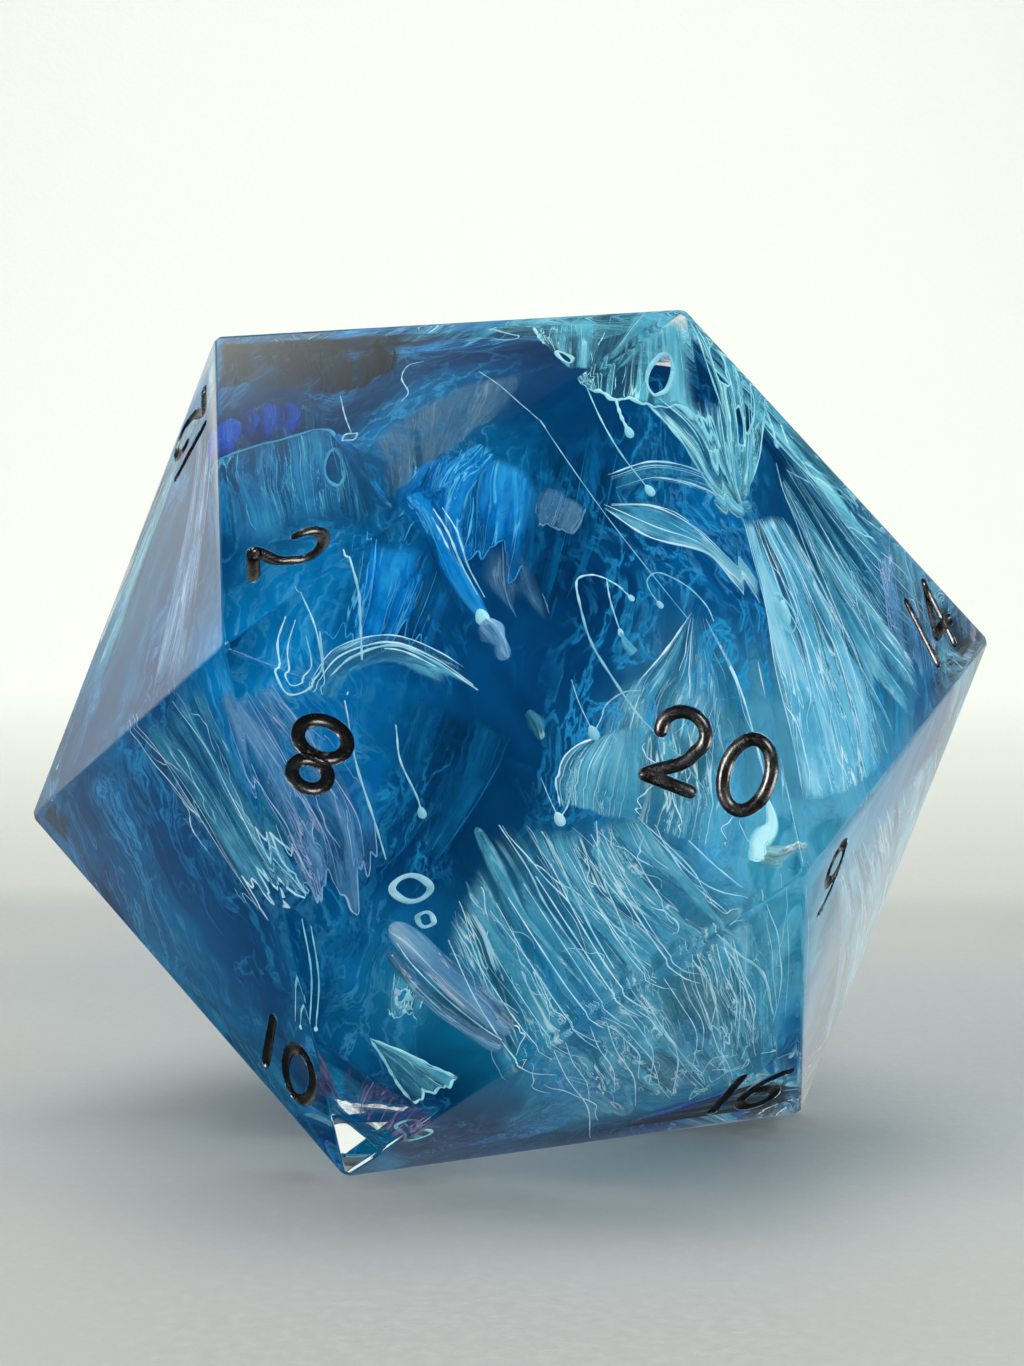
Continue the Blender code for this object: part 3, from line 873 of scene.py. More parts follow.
def veil(ink, face, depth, guides, look="white", strands=0, fold=0.25, folds=5.0, ragged=0.0,
         holes=(), lip=0.0, lips="", fades=(0.12, 0.12, 0.12, 0.12), wander=0.008, strand_size=0.045):
    """A translucent sheet through guide curves that run along its flow.

    Across the sheet u goes from 0 to 1, and along its flow v does. holes are (u, v, half width,
    half length) in those shares. lips names the sides that carry a bright bead of radius lip:
    l and r for the first and last guide, s and e for start and end. fades are the shares over
    which those four sides fade out.
    """
    grid = np.array([to_die(face, with_depth(guide, depth)) for guide in guides])
    out = np.array(FRAMES[face].to_3x3().col[2])
    phase = DRAW.uniform(0, 6.3)
    seed = Vector((DRAW.uniform(0, 50), DRAW.uniform(0, 50), 0))

    def flat_at(u, v):
        across, along = weights(u, grid.shape[0]), weights(v, grid.shape[1])
        return np.einsum("mk,mn,knd->md", across, along, grid)

    spread = np.linspace(0, 1, 9)
    long = length_of(flat_at(np.full(9, 0.5), spread))
    broad = max(length_of(flat_at(spread, np.full(9, v))) for v in (0.05, 0.5, 0.95))

    def rag(u):
        """How far each strip of the sheet reaches, from its own noise."""
        reach = [noise.noise(seed + Vector((value * broad * 0.9, 0, 0))) for value in u]
        fine = [noise.noise(seed + Vector((value * broad * 3.1, 9, 0))) for value in u]
        return 1 - ragged * (0.5 + np.array(reach) * 0.9 + np.array(fine) * 0.4).clip(0, 1)

    def at(u, v, lift=0.0):
        u, v = np.asarray(u, float), np.asarray(v, float)
        v = v * rag(u) if ragged else v
        points = flat_at(u, v)
        wave = np.sin(2 * math.pi * folds * (u + 0.08 * np.sin(5 * v + phase)) + phase)
        wave += 0.5 * np.sin(2 * math.pi * folds * 2.3 * u + 3 * v + 2 * phase)
        points = points + np.outer(fold * wave * (0.35 + 0.65 * v) + lift, out)
        return kept_inside(points)

    nu = int(min(MOST_STEPS, max(FEWEST_STEPS, broad / SHEET_STEP)))
    nv = int(min(MOST_STEPS, max(FEWEST_STEPS, long / SHEET_STEP)))
    u, v = np.meshgrid(np.linspace(0, 1, nu), np.linspace(0, 1, nv), indexing="ij")
    u, v = u.ravel(), v.ravel()
    open_at = np.zeros(len(u), bool)
    for hu, hv, ru, rv in holes:
        du, dv = (u - hu) / ru, (v - hv) / rv
        skew = du + 0.25 * dv
        off = np.sqrt(skew**2 + dv**2) + 1e-6
        open_at |= off < HOLE_OPEN
        snap = (off >= HOLE_OPEN) & (off < HOLE_SNAP)
        u = np.where(snap, u + (hu + (du / off) * ru - u) * 0.9, u)
        v = np.where(snap, v + (hv + (dv / off) * rv - v) * 0.9, v)
    points = at(u, v)
    left, right, start, end = (max(f, 1e-3) for f in fades)
    fade = np.minimum(u / left, 1) * np.minimum((1 - u) / right, 1)
    fade *= np.minimum(v / start, 1) * np.minimum((1 - v) / end, 1)
    fade = np.clip(fade, 0, 1)
    fade = fade * fade * (3 - 2 * fade)
    uvs = np.stack([u * broad + seed.x, v * long + seed.y], axis=1)
    faces = []
    for i in range(nu - 1):
        for j in range(nv - 1):
            quad = (i * nv + j, (i + 1) * nv + j, (i + 1) * nv + j + 1, i * nv + j + 1)
            if not open_at[list(quad)].any():
                faces.append(quad)
    batch_of(SHEETS, ink).take(points, faces, uvs, fade, look)

    bright = "thread" if look in ("white", "pale", "mist") else look
    lay_strands(ink, at, out, bright, strands // 2, wander, strand_size)
    lay_lips(ink, at, out, bright, seed, lips, lip)
    if lip:
        lay_hole_rims(ink, at, out, bright, holes, lip)


def lay_strands(ink, at, out, look, count, wander, strand_size):
    """Fine threads that drift along a sheet's flow, a little above it."""
    for _ in range(count):
        place = DRAW.uniform(0.02, 0.98)
        first, last = sorted((DRAW.uniform(-0.25, 0.75), DRAW.uniform(0.3, 1.15)))
        first = max(first, 0.0)
        last = min(max(last, first + 0.25), 1.0)
        t = np.linspace(0, 1, 26)
        drift = DRAW.uniform(-wander, wander) * 3
        beat = DRAW.uniform(0, 6)
        way = place + drift * t + wander * 0.8 * np.sin(5 * t + beat)
        way = np.clip(way + wander * 0.2 * np.sin(13 * t + beat), 0, 1)
        line = at(way, first + (last - first) * t, DRAW.uniform(0.03, 0.35))
        size = strand_size * DRAW.uniform(0.4, 1.0) ** 2
        taper = size * (0.25 + 0.75 * np.sin(math.pi * np.clip(t, 0.05, 0.95)) ** 0.7)
        taper = taper * (1 + 0.3 * np.sin(15 * t + beat))
        tube(ink, line, taper, taper * 0.8, look, out, 5)


def lay_lips(ink, at, out, look, seed, lips, lip):
    """Bright beads of uneven size along the named sides of a sheet."""
    sides = {"l": (0, None), "r": (1, None), "s": (None, 0), "e": (None, 1)}
    t = np.linspace(0, 1, 90)
    swell = np.array([noise.noise(seed + Vector((value * 9, 3, 1))) for value in t])
    radius = lip * np.clip(0.8 + 0.9 * swell, 0.25, 1.6) * np.clip(np.sin(math.pi * t) * 4, 0.2, 1)
    for mark in lips:
        fixed_u, fixed_v = sides[mark]
        u = t if fixed_u is None else np.full(90, fixed_u)
        v = t if fixed_v is None else np.full(90, fixed_v)
        tube(ink, at(u, v), radius, radius * 0.8, look, out)


def lay_hole_rims(ink, at, out, look, holes, lip):
    """A bright bead round each hole of a sheet."""
    for hu, hv, ru, rv in holes:
        turns = np.radians(np.linspace(0, 361, 44))
        dv = np.sin(turns)
        du = np.cos(turns) - 0.25 * dv
        radius = lip * (0.9 + 0.35 * np.sin(2 * turns + hu * 9))
        tube(ink, at(hu + ru * du, hv + rv * dv), radius, radius, look, out)


def flow_lines(s, uv):
    """Thin bright lines that run along a sheet's flow, and the softer streaks between them."""
    bent = s.moved(s.moved(uv, 2.2, 0.10), 0.18, 0.6)
    fine = s.noise(s.scaled(bent, (1.1, 0.026, 1)), 1.0, 3.0, 0.6)
    broad = s.noise(s.scaled(bent, (0.6, 0.035, 1), shift=(7, 3, 0)), 1.0, 7.0, 0.66)
    where = s.ramp(s.noise(s.scaled(bent, (0.35, 0.10, 1), shift=(2, 9, 0)), 1.0, 2.0), 0.42, 0.62)
    lines = s.math("MAXIMUM", s.ridges(fine, 0.020), s.math("MULTIPLY", s.ridges(broad, 0.010), 0.7))
    lines = s.math("MULTIPLY", lines, s.math("ADD", s.math("MULTIPLY", where, 0.8), 0.2))
    return lines, s.ramp(broad, 0.32, 0.68)


def sheet_material(look):
    wash, line, wash_share, line_share = LOOKS[look]
    s = Shader(f"ink_sheet_{look}")
    lines, streaks = flow_lines(s, s.uv())
    cloud = s.noise(s.place(), 260.0, 5.0, 0.6)
    fade = s.attribute("fade")
    deep = linear([0.55 * v for v in wash])
    pale = linear([0.55 * a + 0.45 * b for a, b in zip(wash, line)])
    colour = s.mix(s.ramp(streaks, 0.1, 0.6), deep, linear(wash))
    colour = s.mix(s.math("MULTIPLY", s.ramp(streaks, 0.55, 1.0), s.ramp(cloud, 0.35, 0.6)), colour, pale)
    colour = s.mix(lines, colour, linear(line))
    soft = s.math("MULTIPLY", s.ramp(streaks, 0.0, 1.0, 0.45, 1.25), wash_share)
    soft = s.math("MULTIPLY", soft, s.ramp(cloud, 0.30, 0.62, 0.55, 1.25))
    cover = s.math("ADD", soft, s.math("MULTIPLY", lines, line_share * 0.75), True)
    s.set(Base_Color=colour, Alpha=s.math("MULTIPLY", cover, fade, True), Roughness=0.42)
    # Painted light: the sheets glow with their own colour, for light that shines through real ink.
    s.set(Emission_Color=colour, Emission_Strength=0.25, Specular_IOR_Level=IN_RESIN)
    s.set(Normal=s.bump(s.math("ADD", lines, streaks), 0.4, 0.00012))
    return s.material


def solid_material(look):
    wash, line, _, _ = LOOKS[look]
    s = Shader(f"ink_body_{look}")
    lines, streaks = flow_lines(s, s.uv())
    cloud = s.noise(s.place(), 420.0, 4.0)
    pale = linear([0.5 * a + 0.5 * b for a, b in zip(wash, line)])
    colour = s.mix(streaks, pale, linear(line))
    colour = s.mix(s.math("MULTIPLY", s.ramp(cloud, 0.40, 0.62), 0.55), colour, linear(wash))
    # Painted light: the threads, ribbons and drops glow with their own colour, for light that shines through
    # real ink.
    s.set(Base_Color=colour, Roughness=0.35, Emission_Color=colour, Emission_Strength=0.32)
    s.set(Specular_IOR_Level=0.1)
    s.set(Normal=s.bump(s.math("ADD", streaks, cloud), 0.3, 0.0001))
    return s.material


# ---- the mass of ink in the middle: (x, y, z) in millimetres and the reach of each patch of colour
PATCHES = {
    (0, 62, 106): ((2, -15, 22, 4), (4, -13, 28, 4), (-3, -7, 4, 3), (-2, -15, 16, 2.5), (-8, -13, 15, 3)),
    (0, 84, 130): ((8, -12, 28, 4), (2, -11, 33, 4), (-3, -3, 36, 5), (13, -3, 31, 4), (0, -16, 19, 3),
                   (-16, -2, 14, 4), (-9, -8, 9, 3), (-18, 0, 16, 4), (-6, -10, 5, 3)),
    (0, 98, 148): ((-4, -15, 25, 4), (-2, -15, 24, 3), (-11, -8, 20, 4), (-12, -6, 29, 4), (-7, -12, 11, 3.5),
                   (-12, -6, 8, 3.5)),
    (0, 118, 178): ((-8, -16, 24, 3), (-6, -15, 20, 2.5), (-4, -13, 14, 2)),
    (4, 112, 158): ((-13, -4, 10, 4), (-9, -10, 28, 3), (-2, -10, 32, 3), (-15, -2, 20, 3)),
    (36, 138, 170): ((4, -14, 14, 4), (-3, -12, 10, 3), (2, -13, 11, 4), (6, -7, 8, 5), (1, -9, 8, 4),
                     (15, -4, 26, 4), (13, 1, 6, 4)),
    (96, 172, 192): ((8, -15, 21, 3), (9, -15, 15, 4), (10, -10, 12, 4), (11, -12, 20, 3),
                      (14, -5, 14, 4), (16, -4, 18, 3)),
}
BETWEEN_PATCHES = (0, 82, 128)
PALE_SUM = 350


def core_colours(points):
    """Blends the patches at each point. All but the pale ones lie on the far side too, turned round."""
    total = np.full(len(points), 1e-4)
    colour = np.outer(total, linear(BETWEEN_PATCHES))
    for rgb, places in PATCHES.items():
        sides = (1,) if sum(rgb) > PALE_SUM else (1, -1)
        for x, y, z, reach in places:
            for turned in sides:
                off = points - np.array((x * turned, y * turned, z))
                weight = np.exp(-(off**2).sum(axis=1) / reach**2)
                total += weight
                colour += np.outer(weight, linear(rgb))
    return colour / total[:, None]


# The core's reach is a share of a round form and a share of the faces' own form, with lumps and
# folds over it and a bulge at the back left, where thin resin would let the bright wall through.
CORE_RADIUS = 15.6
ROUND_SHARE = 0.35
FACETED_SHARE = 0.65
FACETED_INSET = 0.84
LUMP_HEIGHT = 0.8
FOLD_HEIGHT = 0.5
BULGE_HEIGHT = 2.8
BULGE_HEADING = Vector((-0.84, 0.38, -0.36)).normalized()
CORE_LIMIT = 0.94
WISP_RISE = 0.8


def make_core(finish):
    bm = bmesh.new()
    bmesh.ops.create_icosphere(bm, subdivisions=7, radius=1.0)
    for vert in bm.verts:
        out = vert.co.normalized()
        wall = INRADIUS / float((NORMALS @ np.array(out)).max())
        bent = out + 0.35 * noise.noise_vector(out * 2.2)
        lump = noise.fractal(bent * 2.4, 0.8, 2.0, 5)
        fold = 1 - abs(2 * noise.noise(bent * 3.1 + Vector((5, 2, 8))))
        bulge = smoothstep(0.60, 0.95, float(out.dot(BULGE_HEADING)))
        reach = ROUND_SHARE * CORE_RADIUS + FACETED_SHARE * FACETED_INSET * wall
        reach += LUMP_HEIGHT * lump + FOLD_HEIGHT * fold**3 + BULGE_HEIGHT * bulge
        vert.co = CENTRE + out * min(reach, CORE_LIMIT * wall)
    mesh = bpy.data.meshes.new("core_deep_blue")
    bm.to_mesh(mesh)
    bm.free()
    points = np.array([v.co for v in mesh.vertices])
    rgb = core_colours(points)
    tint = mesh.attributes.new("tint", "FLOAT_COLOR", "POINT")
    tint.data.foreach_set("color", np.c_[rgb, np.ones(len(rgb))].astype(np.float32).ravel())
    core = link("core_deep_blue", in_metres(mesh, 180), finish)
    core.visible_shadow = False
    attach(core, "root")
    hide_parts("ink_cloud_deep_blue")
    return core


def drawn_along_flow(s, place, squeeze, shift=(0, 0, 0)):
    """Places bent by slow currents, then drawn out along the way the inks sank."""
    bent = s.moved(s.moved(place, 0.016, 55.0), 0.0035, 210.0)
    return s.scaled(bent, (1.0, 1.0, squeeze), shift, FLOW_TURN)


def core_material():
    s = Shader("ink_core")
    place = s.place()
    currents = s.noise(drawn_along_flow(s, place, 0.30), 120.0, 6.0, 0.55)
    strands = s.noise(drawn_along_flow(s, place, 0.12, (0.3, 0.1, 0)), 460.0, 6.0, 0.6)
    fine = s.noise(drawn_along_flow(s, place, 0.10, (0.7, 0.5, 0)), 900.0, 5.0, 0.6)
    tint = s.attribute("tint", "Color")
    shade = s.tinted(tint, (0.10, 0.55, 0.66))
    lit = s.mix(0.40, tint, linear((0, 138, 208)))
    colour = s.mix(s.ramp(currents, 0.42, 0.56), shade, tint)
    colour = s.mix(s.math("MULTIPLY", s.ramp(currents, 0.52, 0.64), 0.9), colour, lit)
    colour = s.mix(s.math("MULTIPLY", s.ramp(strands, 0.50, 0.62), 0.55), colour, shade)
    pale = s.math("MULTIPLY", s.ridges(fine, 0.045), s.ramp(currents, 0.46, 0.62))
    colour = s.mix(s.math("MULTIPLY", pale, 0.5), colour, linear((92, 184, 226)))
    # Painted light: the core glows with its own colour, for light that shines through real ink.
    s.set(Base_Color=colour, Roughness=0.5, Emission_Color=colour, Emission_Strength=0.36)
    s.set(Specular_IOR_Level=IN_RESIN)
    s.set(Normal=s.bump(currents, 0.5, 0.0006))
    return s.material


def wisp_material(name, wash, line, cover, shift):
    """Thin smoke of ink that hangs around the middle: clear between its drawn-out strands."""
    s = Shader(name)
    place = s.place()
    currents = s.noise(drawn_along_flow(s, place, 0.35, shift), 105.0, 6.0, 0.6)
    strands = s.noise(drawn_along_flow(s, place, 0.10, shift), 620.0, 6.0, 0.6)
    lines = s.math("MULTIPLY", s.ridges(strands, 0.05), s.ramp(currents, 0.40, 0.60))
    smoke = s.math("MULTIPLY", s.ramp(currents, 0.50, 0.72), s.ramp(strands, 0.30, 0.70, 0.45, 1.0))
    colour = s.mix(lines, linear(wash), linear(line))
    share = s.math("ADD", s.math("MULTIPLY", smoke, cover), s.math("MULTIPLY", lines, cover * 0.9), True)
    # Painted light: the wisps glow with their own colour, for light that shines through real ink.
    s.set(Base_Color=colour, Alpha=share, Roughness=0.5, Emission_Color=colour, Emission_Strength=0.2)
    s.set(Specular_IOR_Level=IN_RESIN)
    return s.material


def make_wisps(core):
    """A thin shell of drawn-out smoke just above the core."""
    mesh = core.data.copy()
    mesh.name = "wisps_deep"
    places = np.empty(len(mesh.vertices) * 3, np.float32)
    outward = np.empty_like(places)
    mesh.vertices.foreach_get("co", places)
    mesh.vertices.foreach_get("normal", outward)
    mesh.vertices.foreach_set("co", places + outward * WISP_RISE * MM)
    finish = wisp_material("ink_wisps_deep", (0, 88, 150), (40, 160, 214), 0.52, (0.2, 0, 0.4))
    piece = link("wisps_deep", mesh, finish)
    piece.visible_shadow = False
    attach(piece, "root")


def curtain_by_the_upper_corner():
    ink = "curtain_cyan"
    veil(ink, 20, 1.6, (
        ((10.1, 18.1), (10.2, 18.0), (10.4, 17.9)),
        ((10.9, 19.6), (11.1, 18.8), (11.3, 17.8)),
        ((11.7, 20.9), (12.0, 19.5), (12.4, 17.9)),
        ((12.5, 22.2), (13.2, 20.4), (14.0, 18.3)),
        ((13.3, 23.4), (14.5, 20.7), (15.9, 18.0)),
    ), "cyan", strands=8, fold=0.12, folds=3, ragged=0.10, holes=((0.72, 0.62, 0.10, 0.24),), lip=0.10,
         lips="e", fades=(0.01, 0.15, 0.1, 0.01))
    veil(ink, 20, 2.0, (
        ((12.8, 18.5), (15.2, 17.3), (16.9, 15.9), (18.2, 15.2)),
        ((13.9, 18.9), (15.7, 18.1), (17.1, 16.6), (18.4, 15.3)),
        ((15.4, 19.6), (16.5, 17.9), (17.5, 16.5), (18.5, 15.3)),
        ((16.7, 20.1), (17.2, 18.2), (17.8, 16.6), (18.6, 15.4)),
    ), "cyan", strands=26, fold=0.3, folds=4,
         holes=((0.55, 0.30, 0.10, 0.16), (0.82, 0.5, 0.07, 0.16), (0.35, 0.62, 0.07, 0.1)), lip=0.07,
         lips="lr", fades=(0.02, 0.02, 0.2, 0.05), strand_size=0.06)
    veil(ink, 2, 1.6, (
        ((9.1, 16.0), (9.8, 16.1), (10.9, 16.3)),
        ((9.7, 17.7), (11.7, 17.4), (13.7, 17.2)),
        ((10.6, 20.0), (12.5, 19.3), (14.2, 18.5)),
        ((11.9, 22.8), (12.8, 21.1), (13.8, 19.5)),
    ), "cyan", strands=6, fold=0.15, folds=2.5, holes=((0.26, 0.80, 0.09, 0.10),), lip=0.09, lips="l",
         fades=(0.02, 0.2, 0.15, 0.02))
    veil(ink, 14, 1.8, (
        ((14.8, 22.5), (14.5, 20.7), (13.2, 17.5), (10.6, 14.3)),
        ((16.1, 21.1), (16.3, 19.2), (14.5, 16.6), (11.2, 14.1)),
        ((17.4, 19.1), (17.6, 17.1), (14.9, 15.4), (11.7, 13.9)),
    ), "cyan", strands=26, fold=0.35, folds=4,
         holes=((0.30, 0.34, 0.13, 0.15), (0.7, 0.5, 0.08, 0.16), (0.45, 0.66, 0.06, 0.1)), lip=0.07,
         lips="lr", fades=(0.02, 0.02, 0.1, 0.05), strand_size=0.06)
    thread(ink, 20, 1.5, ((10.2, 18.0), (11.5, 16.6), (12.9, 15.4), (14.6, 14.3)), 0.06, "cyan", 0.26)
    thread(ink, 20, 1.5, ((11.7, 17.9), (12.2, 17.2), (12.8, 16.6)), 0.12, "cyan", 0.26)
    thread(ink, 14, 1.9, ((17.6, 17.0), (17.3, 15.9), (16.9, 15.0)), 0.14, "cyan", 0.22)
    thread(ink, 14, 1.9, ((18.2, 15.6), (17.9, 14.8)), 0.12, "cyan", 0.18)
    ribbon(ink, 20, 1.7, ((17.5, 15.3), (18.2, 15.0), (18.9, 15.1)),
           (0.25, 0.38, 0.25), "white", thick=0.3, flutes=0.2)
    ribbon(ink, 14, 1.8, ((10.4, 14.0), (11.2, 13.7), (11.9, 13.6)),
           (0.2, 0.32, 0.2), "white", thick=0.3, flutes=0.2)


def veils_on_the_front():
    ink = "veil_white"
    veil(ink, 20, 2.6, (
        ((12.9, 13.1), (14.8, 14.3), (16.9, 14.0), (19.2, 12.9), (20.4, 12.4)),
        ((12.9, 13.1), (15.2, 13.3), (17.4, 13.2), (19.3, 12.4), (20.5, 11.9)),
        ((13.0, 13.0), (15.3, 12.5), (17.9, 12.8), (19.4, 12.1), (20.6, 11.4)),
    ), "white", strands=16, fold=0.12, folds=2, lip=0.06, lips="r", fades=(0.25, 0.01, 0.05, 0.1),
         wander=0.03, strand_size=0.035)
    veil(ink, 20, 2.3, (
        ((12.6, 14.5), (14.3, 15.9), (16.5, 16.3), (18.5, 15.6)),
        ((13.2, 13.9), (14.8, 15.1), (16.8, 15.4), (18.6, 15.2)),
    ), "mist", strands=12, fold=0.1, folds=2, lip=0.05, lips="l", strand_size=0.035)
    veil(ink, 20, 3.0, (
        ((18.3, 9.9), (17.8, 7.8), (17.2, 6.1), (17.1, 5.0)),
        ((18.4, 9.9), (18.9, 7.3), (19.1, 4.9), (19.2, 2.6)),
        ((18.6, 9.9), (19.8, 7.6), (20.9, 5.1), (22.1, 2.4)),
        ((19.0, 9.9), (21.2, 7.7), (22.9, 5.4), (24.5, 3.0)),
    ), "mist", strands=22, folds=3, ragged=0.1, lip=0.05, lips="lr", fades=(0.03, 0.03, 0.05, 0.3),
         wander=0.03, strand_size=0.03)
    veil(ink, 20, 2.4, (
        ((16.4, 2.9), (15.5, 2.0), (15.2, 1.0), (15.8, -0.2)),
        ((17.0, 3.5), (16.9, 2.7), (16.9, 1.4), (17.2, 0.0)),
        ((18.2, 4.3), (18.6, 3.1), (19.1, 1.8), (19.5, 0.3)),
        ((20.5, 4.4), (21.2, 3.2), (21.7, 2.0), (22.0, 0.4)),
        ((23.7, 3.2), (24.1, 2.4), (24.4, 1.6), (24.9, 0.6)),
    ), "white", strands=20, fold=0.15, folds=3, lip=0.05, lips="l", fades=(0.01, 0.2, 0.12, 0.02),
         wander=0.03, strand_size=0.04)
    veil(ink, 8, 2.4, (
        ((13.1, 10.7), (11.6, 12.9), (9.7, 14.8), (8.4, 15.7)),
        ((13.1, 7.2), (10.7, 9.4), (8.3, 11.4), (6.6, 12.6)),
        ((12.7, 3.9), (9.7, 6.3), (6.9, 8.0), (4.8, 9.2)),
        ((10.2, 3.0), (8.2, 4.8), (5.7, 6.1), (3.4, 7.2)),
        ((8.4, 1.6), (6.5, 3.0), (4.1, 4.3), (2.1, 5.1)),
        ((6.8, 0.9), (4.7, 1.7), (2.6, 2.3), (0.9, 2.9)),
    ), "white", strands=60, fold=0.22, folds=7, ragged=0.1, fades=(0.10, 0.1, 0.14, 0.04), wander=0.025)
    veil(ink, 16, 2.4, (
        ((6.5, 7.3), (8.8, 4.6), (10.9, 2.4), (12.6, 0.6)),
        ((8.1, 9.6), (11.0, 6.9), (14.1, 3.6), (16.4, 0.7)),
        ((10.0, 12.2), (13.5, 8.7), (16.9, 4.9), (19.6, 1.5)),
        ((11.7, 15.2), (15.3, 10.5), (19.0, 5.4), (21.8, 1.6)),
        ((13.0, 17.8), (16.3, 12.9), (19.9, 7.1), (22.6, 2.9)),
        ((14.3, 20.3), (17.3, 15.3), (20.2, 9.8), (22.8, 4.7)),
    ), "white", strands=50, fold=0.22, folds=7, ragged=0.25, fades=(0.2, 0.1, 0.04, 0.05), wander=0.025)


def threads_on_the_front():
    ink = "veil_white"
    thread(ink, 2, 1.4, ((11.3, 13.0), (13.1, 13.8), (15.1, 14.5), (16.8, 15.1)), 0.035)
    thread(ink, 20, 1.4, ((8.9, 15.5), (10.9, 14.0), (13.0, 12.5), (15.6, 10.8), (18.2, 9.2)), 0.035)
    thread(ink, 20, 1.5, ((14.2, 9.6), (13.5, 9.5), (13.0, 9.0), (13.5, 8.0), (14.5, 6.6), (15.8, 5.5),
                          (17.6, 4.2), (19.5, 3.3), (21.3, 2.2)), 0.085)
    thread(ink, 20, 1.6, ((14.2, 9.6), (14.7, 8.7), (15.6, 7.5)), 0.06, bead=0.17)
    thread(ink, 20, 1.6, ((14.2, 9.6), (14.8, 9.5), (15.5, 9.2)), 0.06, bead=0.16)
    thread(ink, 20, 1.6, ((19.3, 9.6), (18.7, 10.2), (17.6, 10.7), (16.3, 10.8), (15.9, 10.3), (16.2, 9.8),
                          (16.8, 9.4)), 0.055, bead=0.17)
    ribbon(ink, 20, 1.5, ((15.6, 7.5), (16.0, 7.1), (16.5, 6.8)), (0.05, 0.18, 0.26), "white", thick=0.2)
    thread(ink, 20, 1.4, ((14.3, 4.6), (15.0, 3.7), (16.0, 2.7)), 0.035, bead=0.30)
    thread(ink, 20, 1.4, ((16.0, 2.7), (16.1, 3.4), (16.1, 4.1), (16.6, 4.9), (17.3, 5.3)), 0.05)
    thread(ink, 8, 1.4, ((11.9, 0.8), (11.2, 1.6), (10.5, 2.3)), 0.035, bead=0.30)
    thread(ink, 8, 1.4, ((10.5, 2.3), (10.4, 1.6), (10.5, 1.0)), 0.05)
    ribbon(ink, 20, 1.6, ((13.0, 2.6), (13.6, 2.2), (14.0, 1.6)), (0.2, 0.35, 0.15), "white", thick=0.2)
    ribbon(ink, 8, 1.8, ((13.7, 4.2), (12.3, 5.6), (10.6, 7.2), (8.9, 8.3), (6.7, 9.6)),
           (0.30, 0.34, 0.22, 0.12, 0.05), "white", thick=0.12)
    thread(ink, 8, 1.7, ((12.8, 3.7), (10.9, 5.2), (9.6, 6.5), (7.6, 8.0), (5.6, 9.4)), 0.07)
    ribbon(ink, 8, 1.9, ((13.2, 6.9), (12.0, 8.2), (10.7, 9.2), (8.4, 10.6)),
           (0.05, 0.2, 0.12, 0.05), "white", thick=0.1)
    thread(ink, 8, 1.5, ((11.0, 3.2), (10.0, 4.0), (8.8, 5.3), (7.3, 6.8), (5.7, 8.2)), 0.075)
    thread(ink, 8, 1.5, ((9.0, 1.8), (8.0, 3.9), (6.9, 5.2), (5.5, 6.7), (4.3, 7.9)), 0.06)
    ribbon(ink, 8, 1.5, ((7.7, 0.9), (5.6, 2.3), (4.1, 3.2), (2.8, 4.0), (1.2, 4.6)),
           (0.08, 0.2, 0.26, 0.2, 0.1), "white", thick=0.12)
    thread(ink, 16, 1.5, ((11.9, 17.6), (14.0, 15.8), (16.5, 13.8), (19.2, 10.0)), 0.12)
    thread(ink, 16, 1.6, ((11.7, 16.0), (14.8, 11.9), (17.3, 8.0)), 0.07)
    thread(ink, 16, 1.6, ((13.5, 16.2), (15.9, 12.6), (18.9, 6.8)), 0.06)
    thread(ink, 16, 1.6, ((9.5, 13.5), (12.1, 10.6), (15.1, 7.5), (18.7, 3.6)), 0.07)


def fine_threads_on_the_front():
    ink = "veil_white"
    combed_threads(ink, 8, 13, (12.9, 9.8), (-4.6, -8.4), (5.5, 8.5), 0.5,
                   ((0, 0, 0), (-0.30, 0.26, 1), (-0.66, 0.54, 1), (-1, 0.74, 0)))
    combed_threads(ink, 16, 11, (7.6, 8.6), (6.0, 9.6), (6.0, 10.0), 0.4,
                   ((0, 0, 0), (0.22, -0.28, 1), (0.50, -0.62, 1), (0.68, -1, 0)))
    for _ in range(16):
        x, y = DRAW.uniform(16.5, 21.5), DRAW.uniform(2.2, 6.5)
        size = DRAW.uniform(0.3, 0.9)
        turns = [DRAW.uniform(0, 6.3) + 1.3 * i for i in range(5)]
        lace = [(x + size * math.cos(a) * DRAW.uniform(0.5, 1.2), y + size * math.sin(a)) for a in turns]
        thread(ink, 16, DRAW.uniform(1.4, 2.4), lace, 0.05)


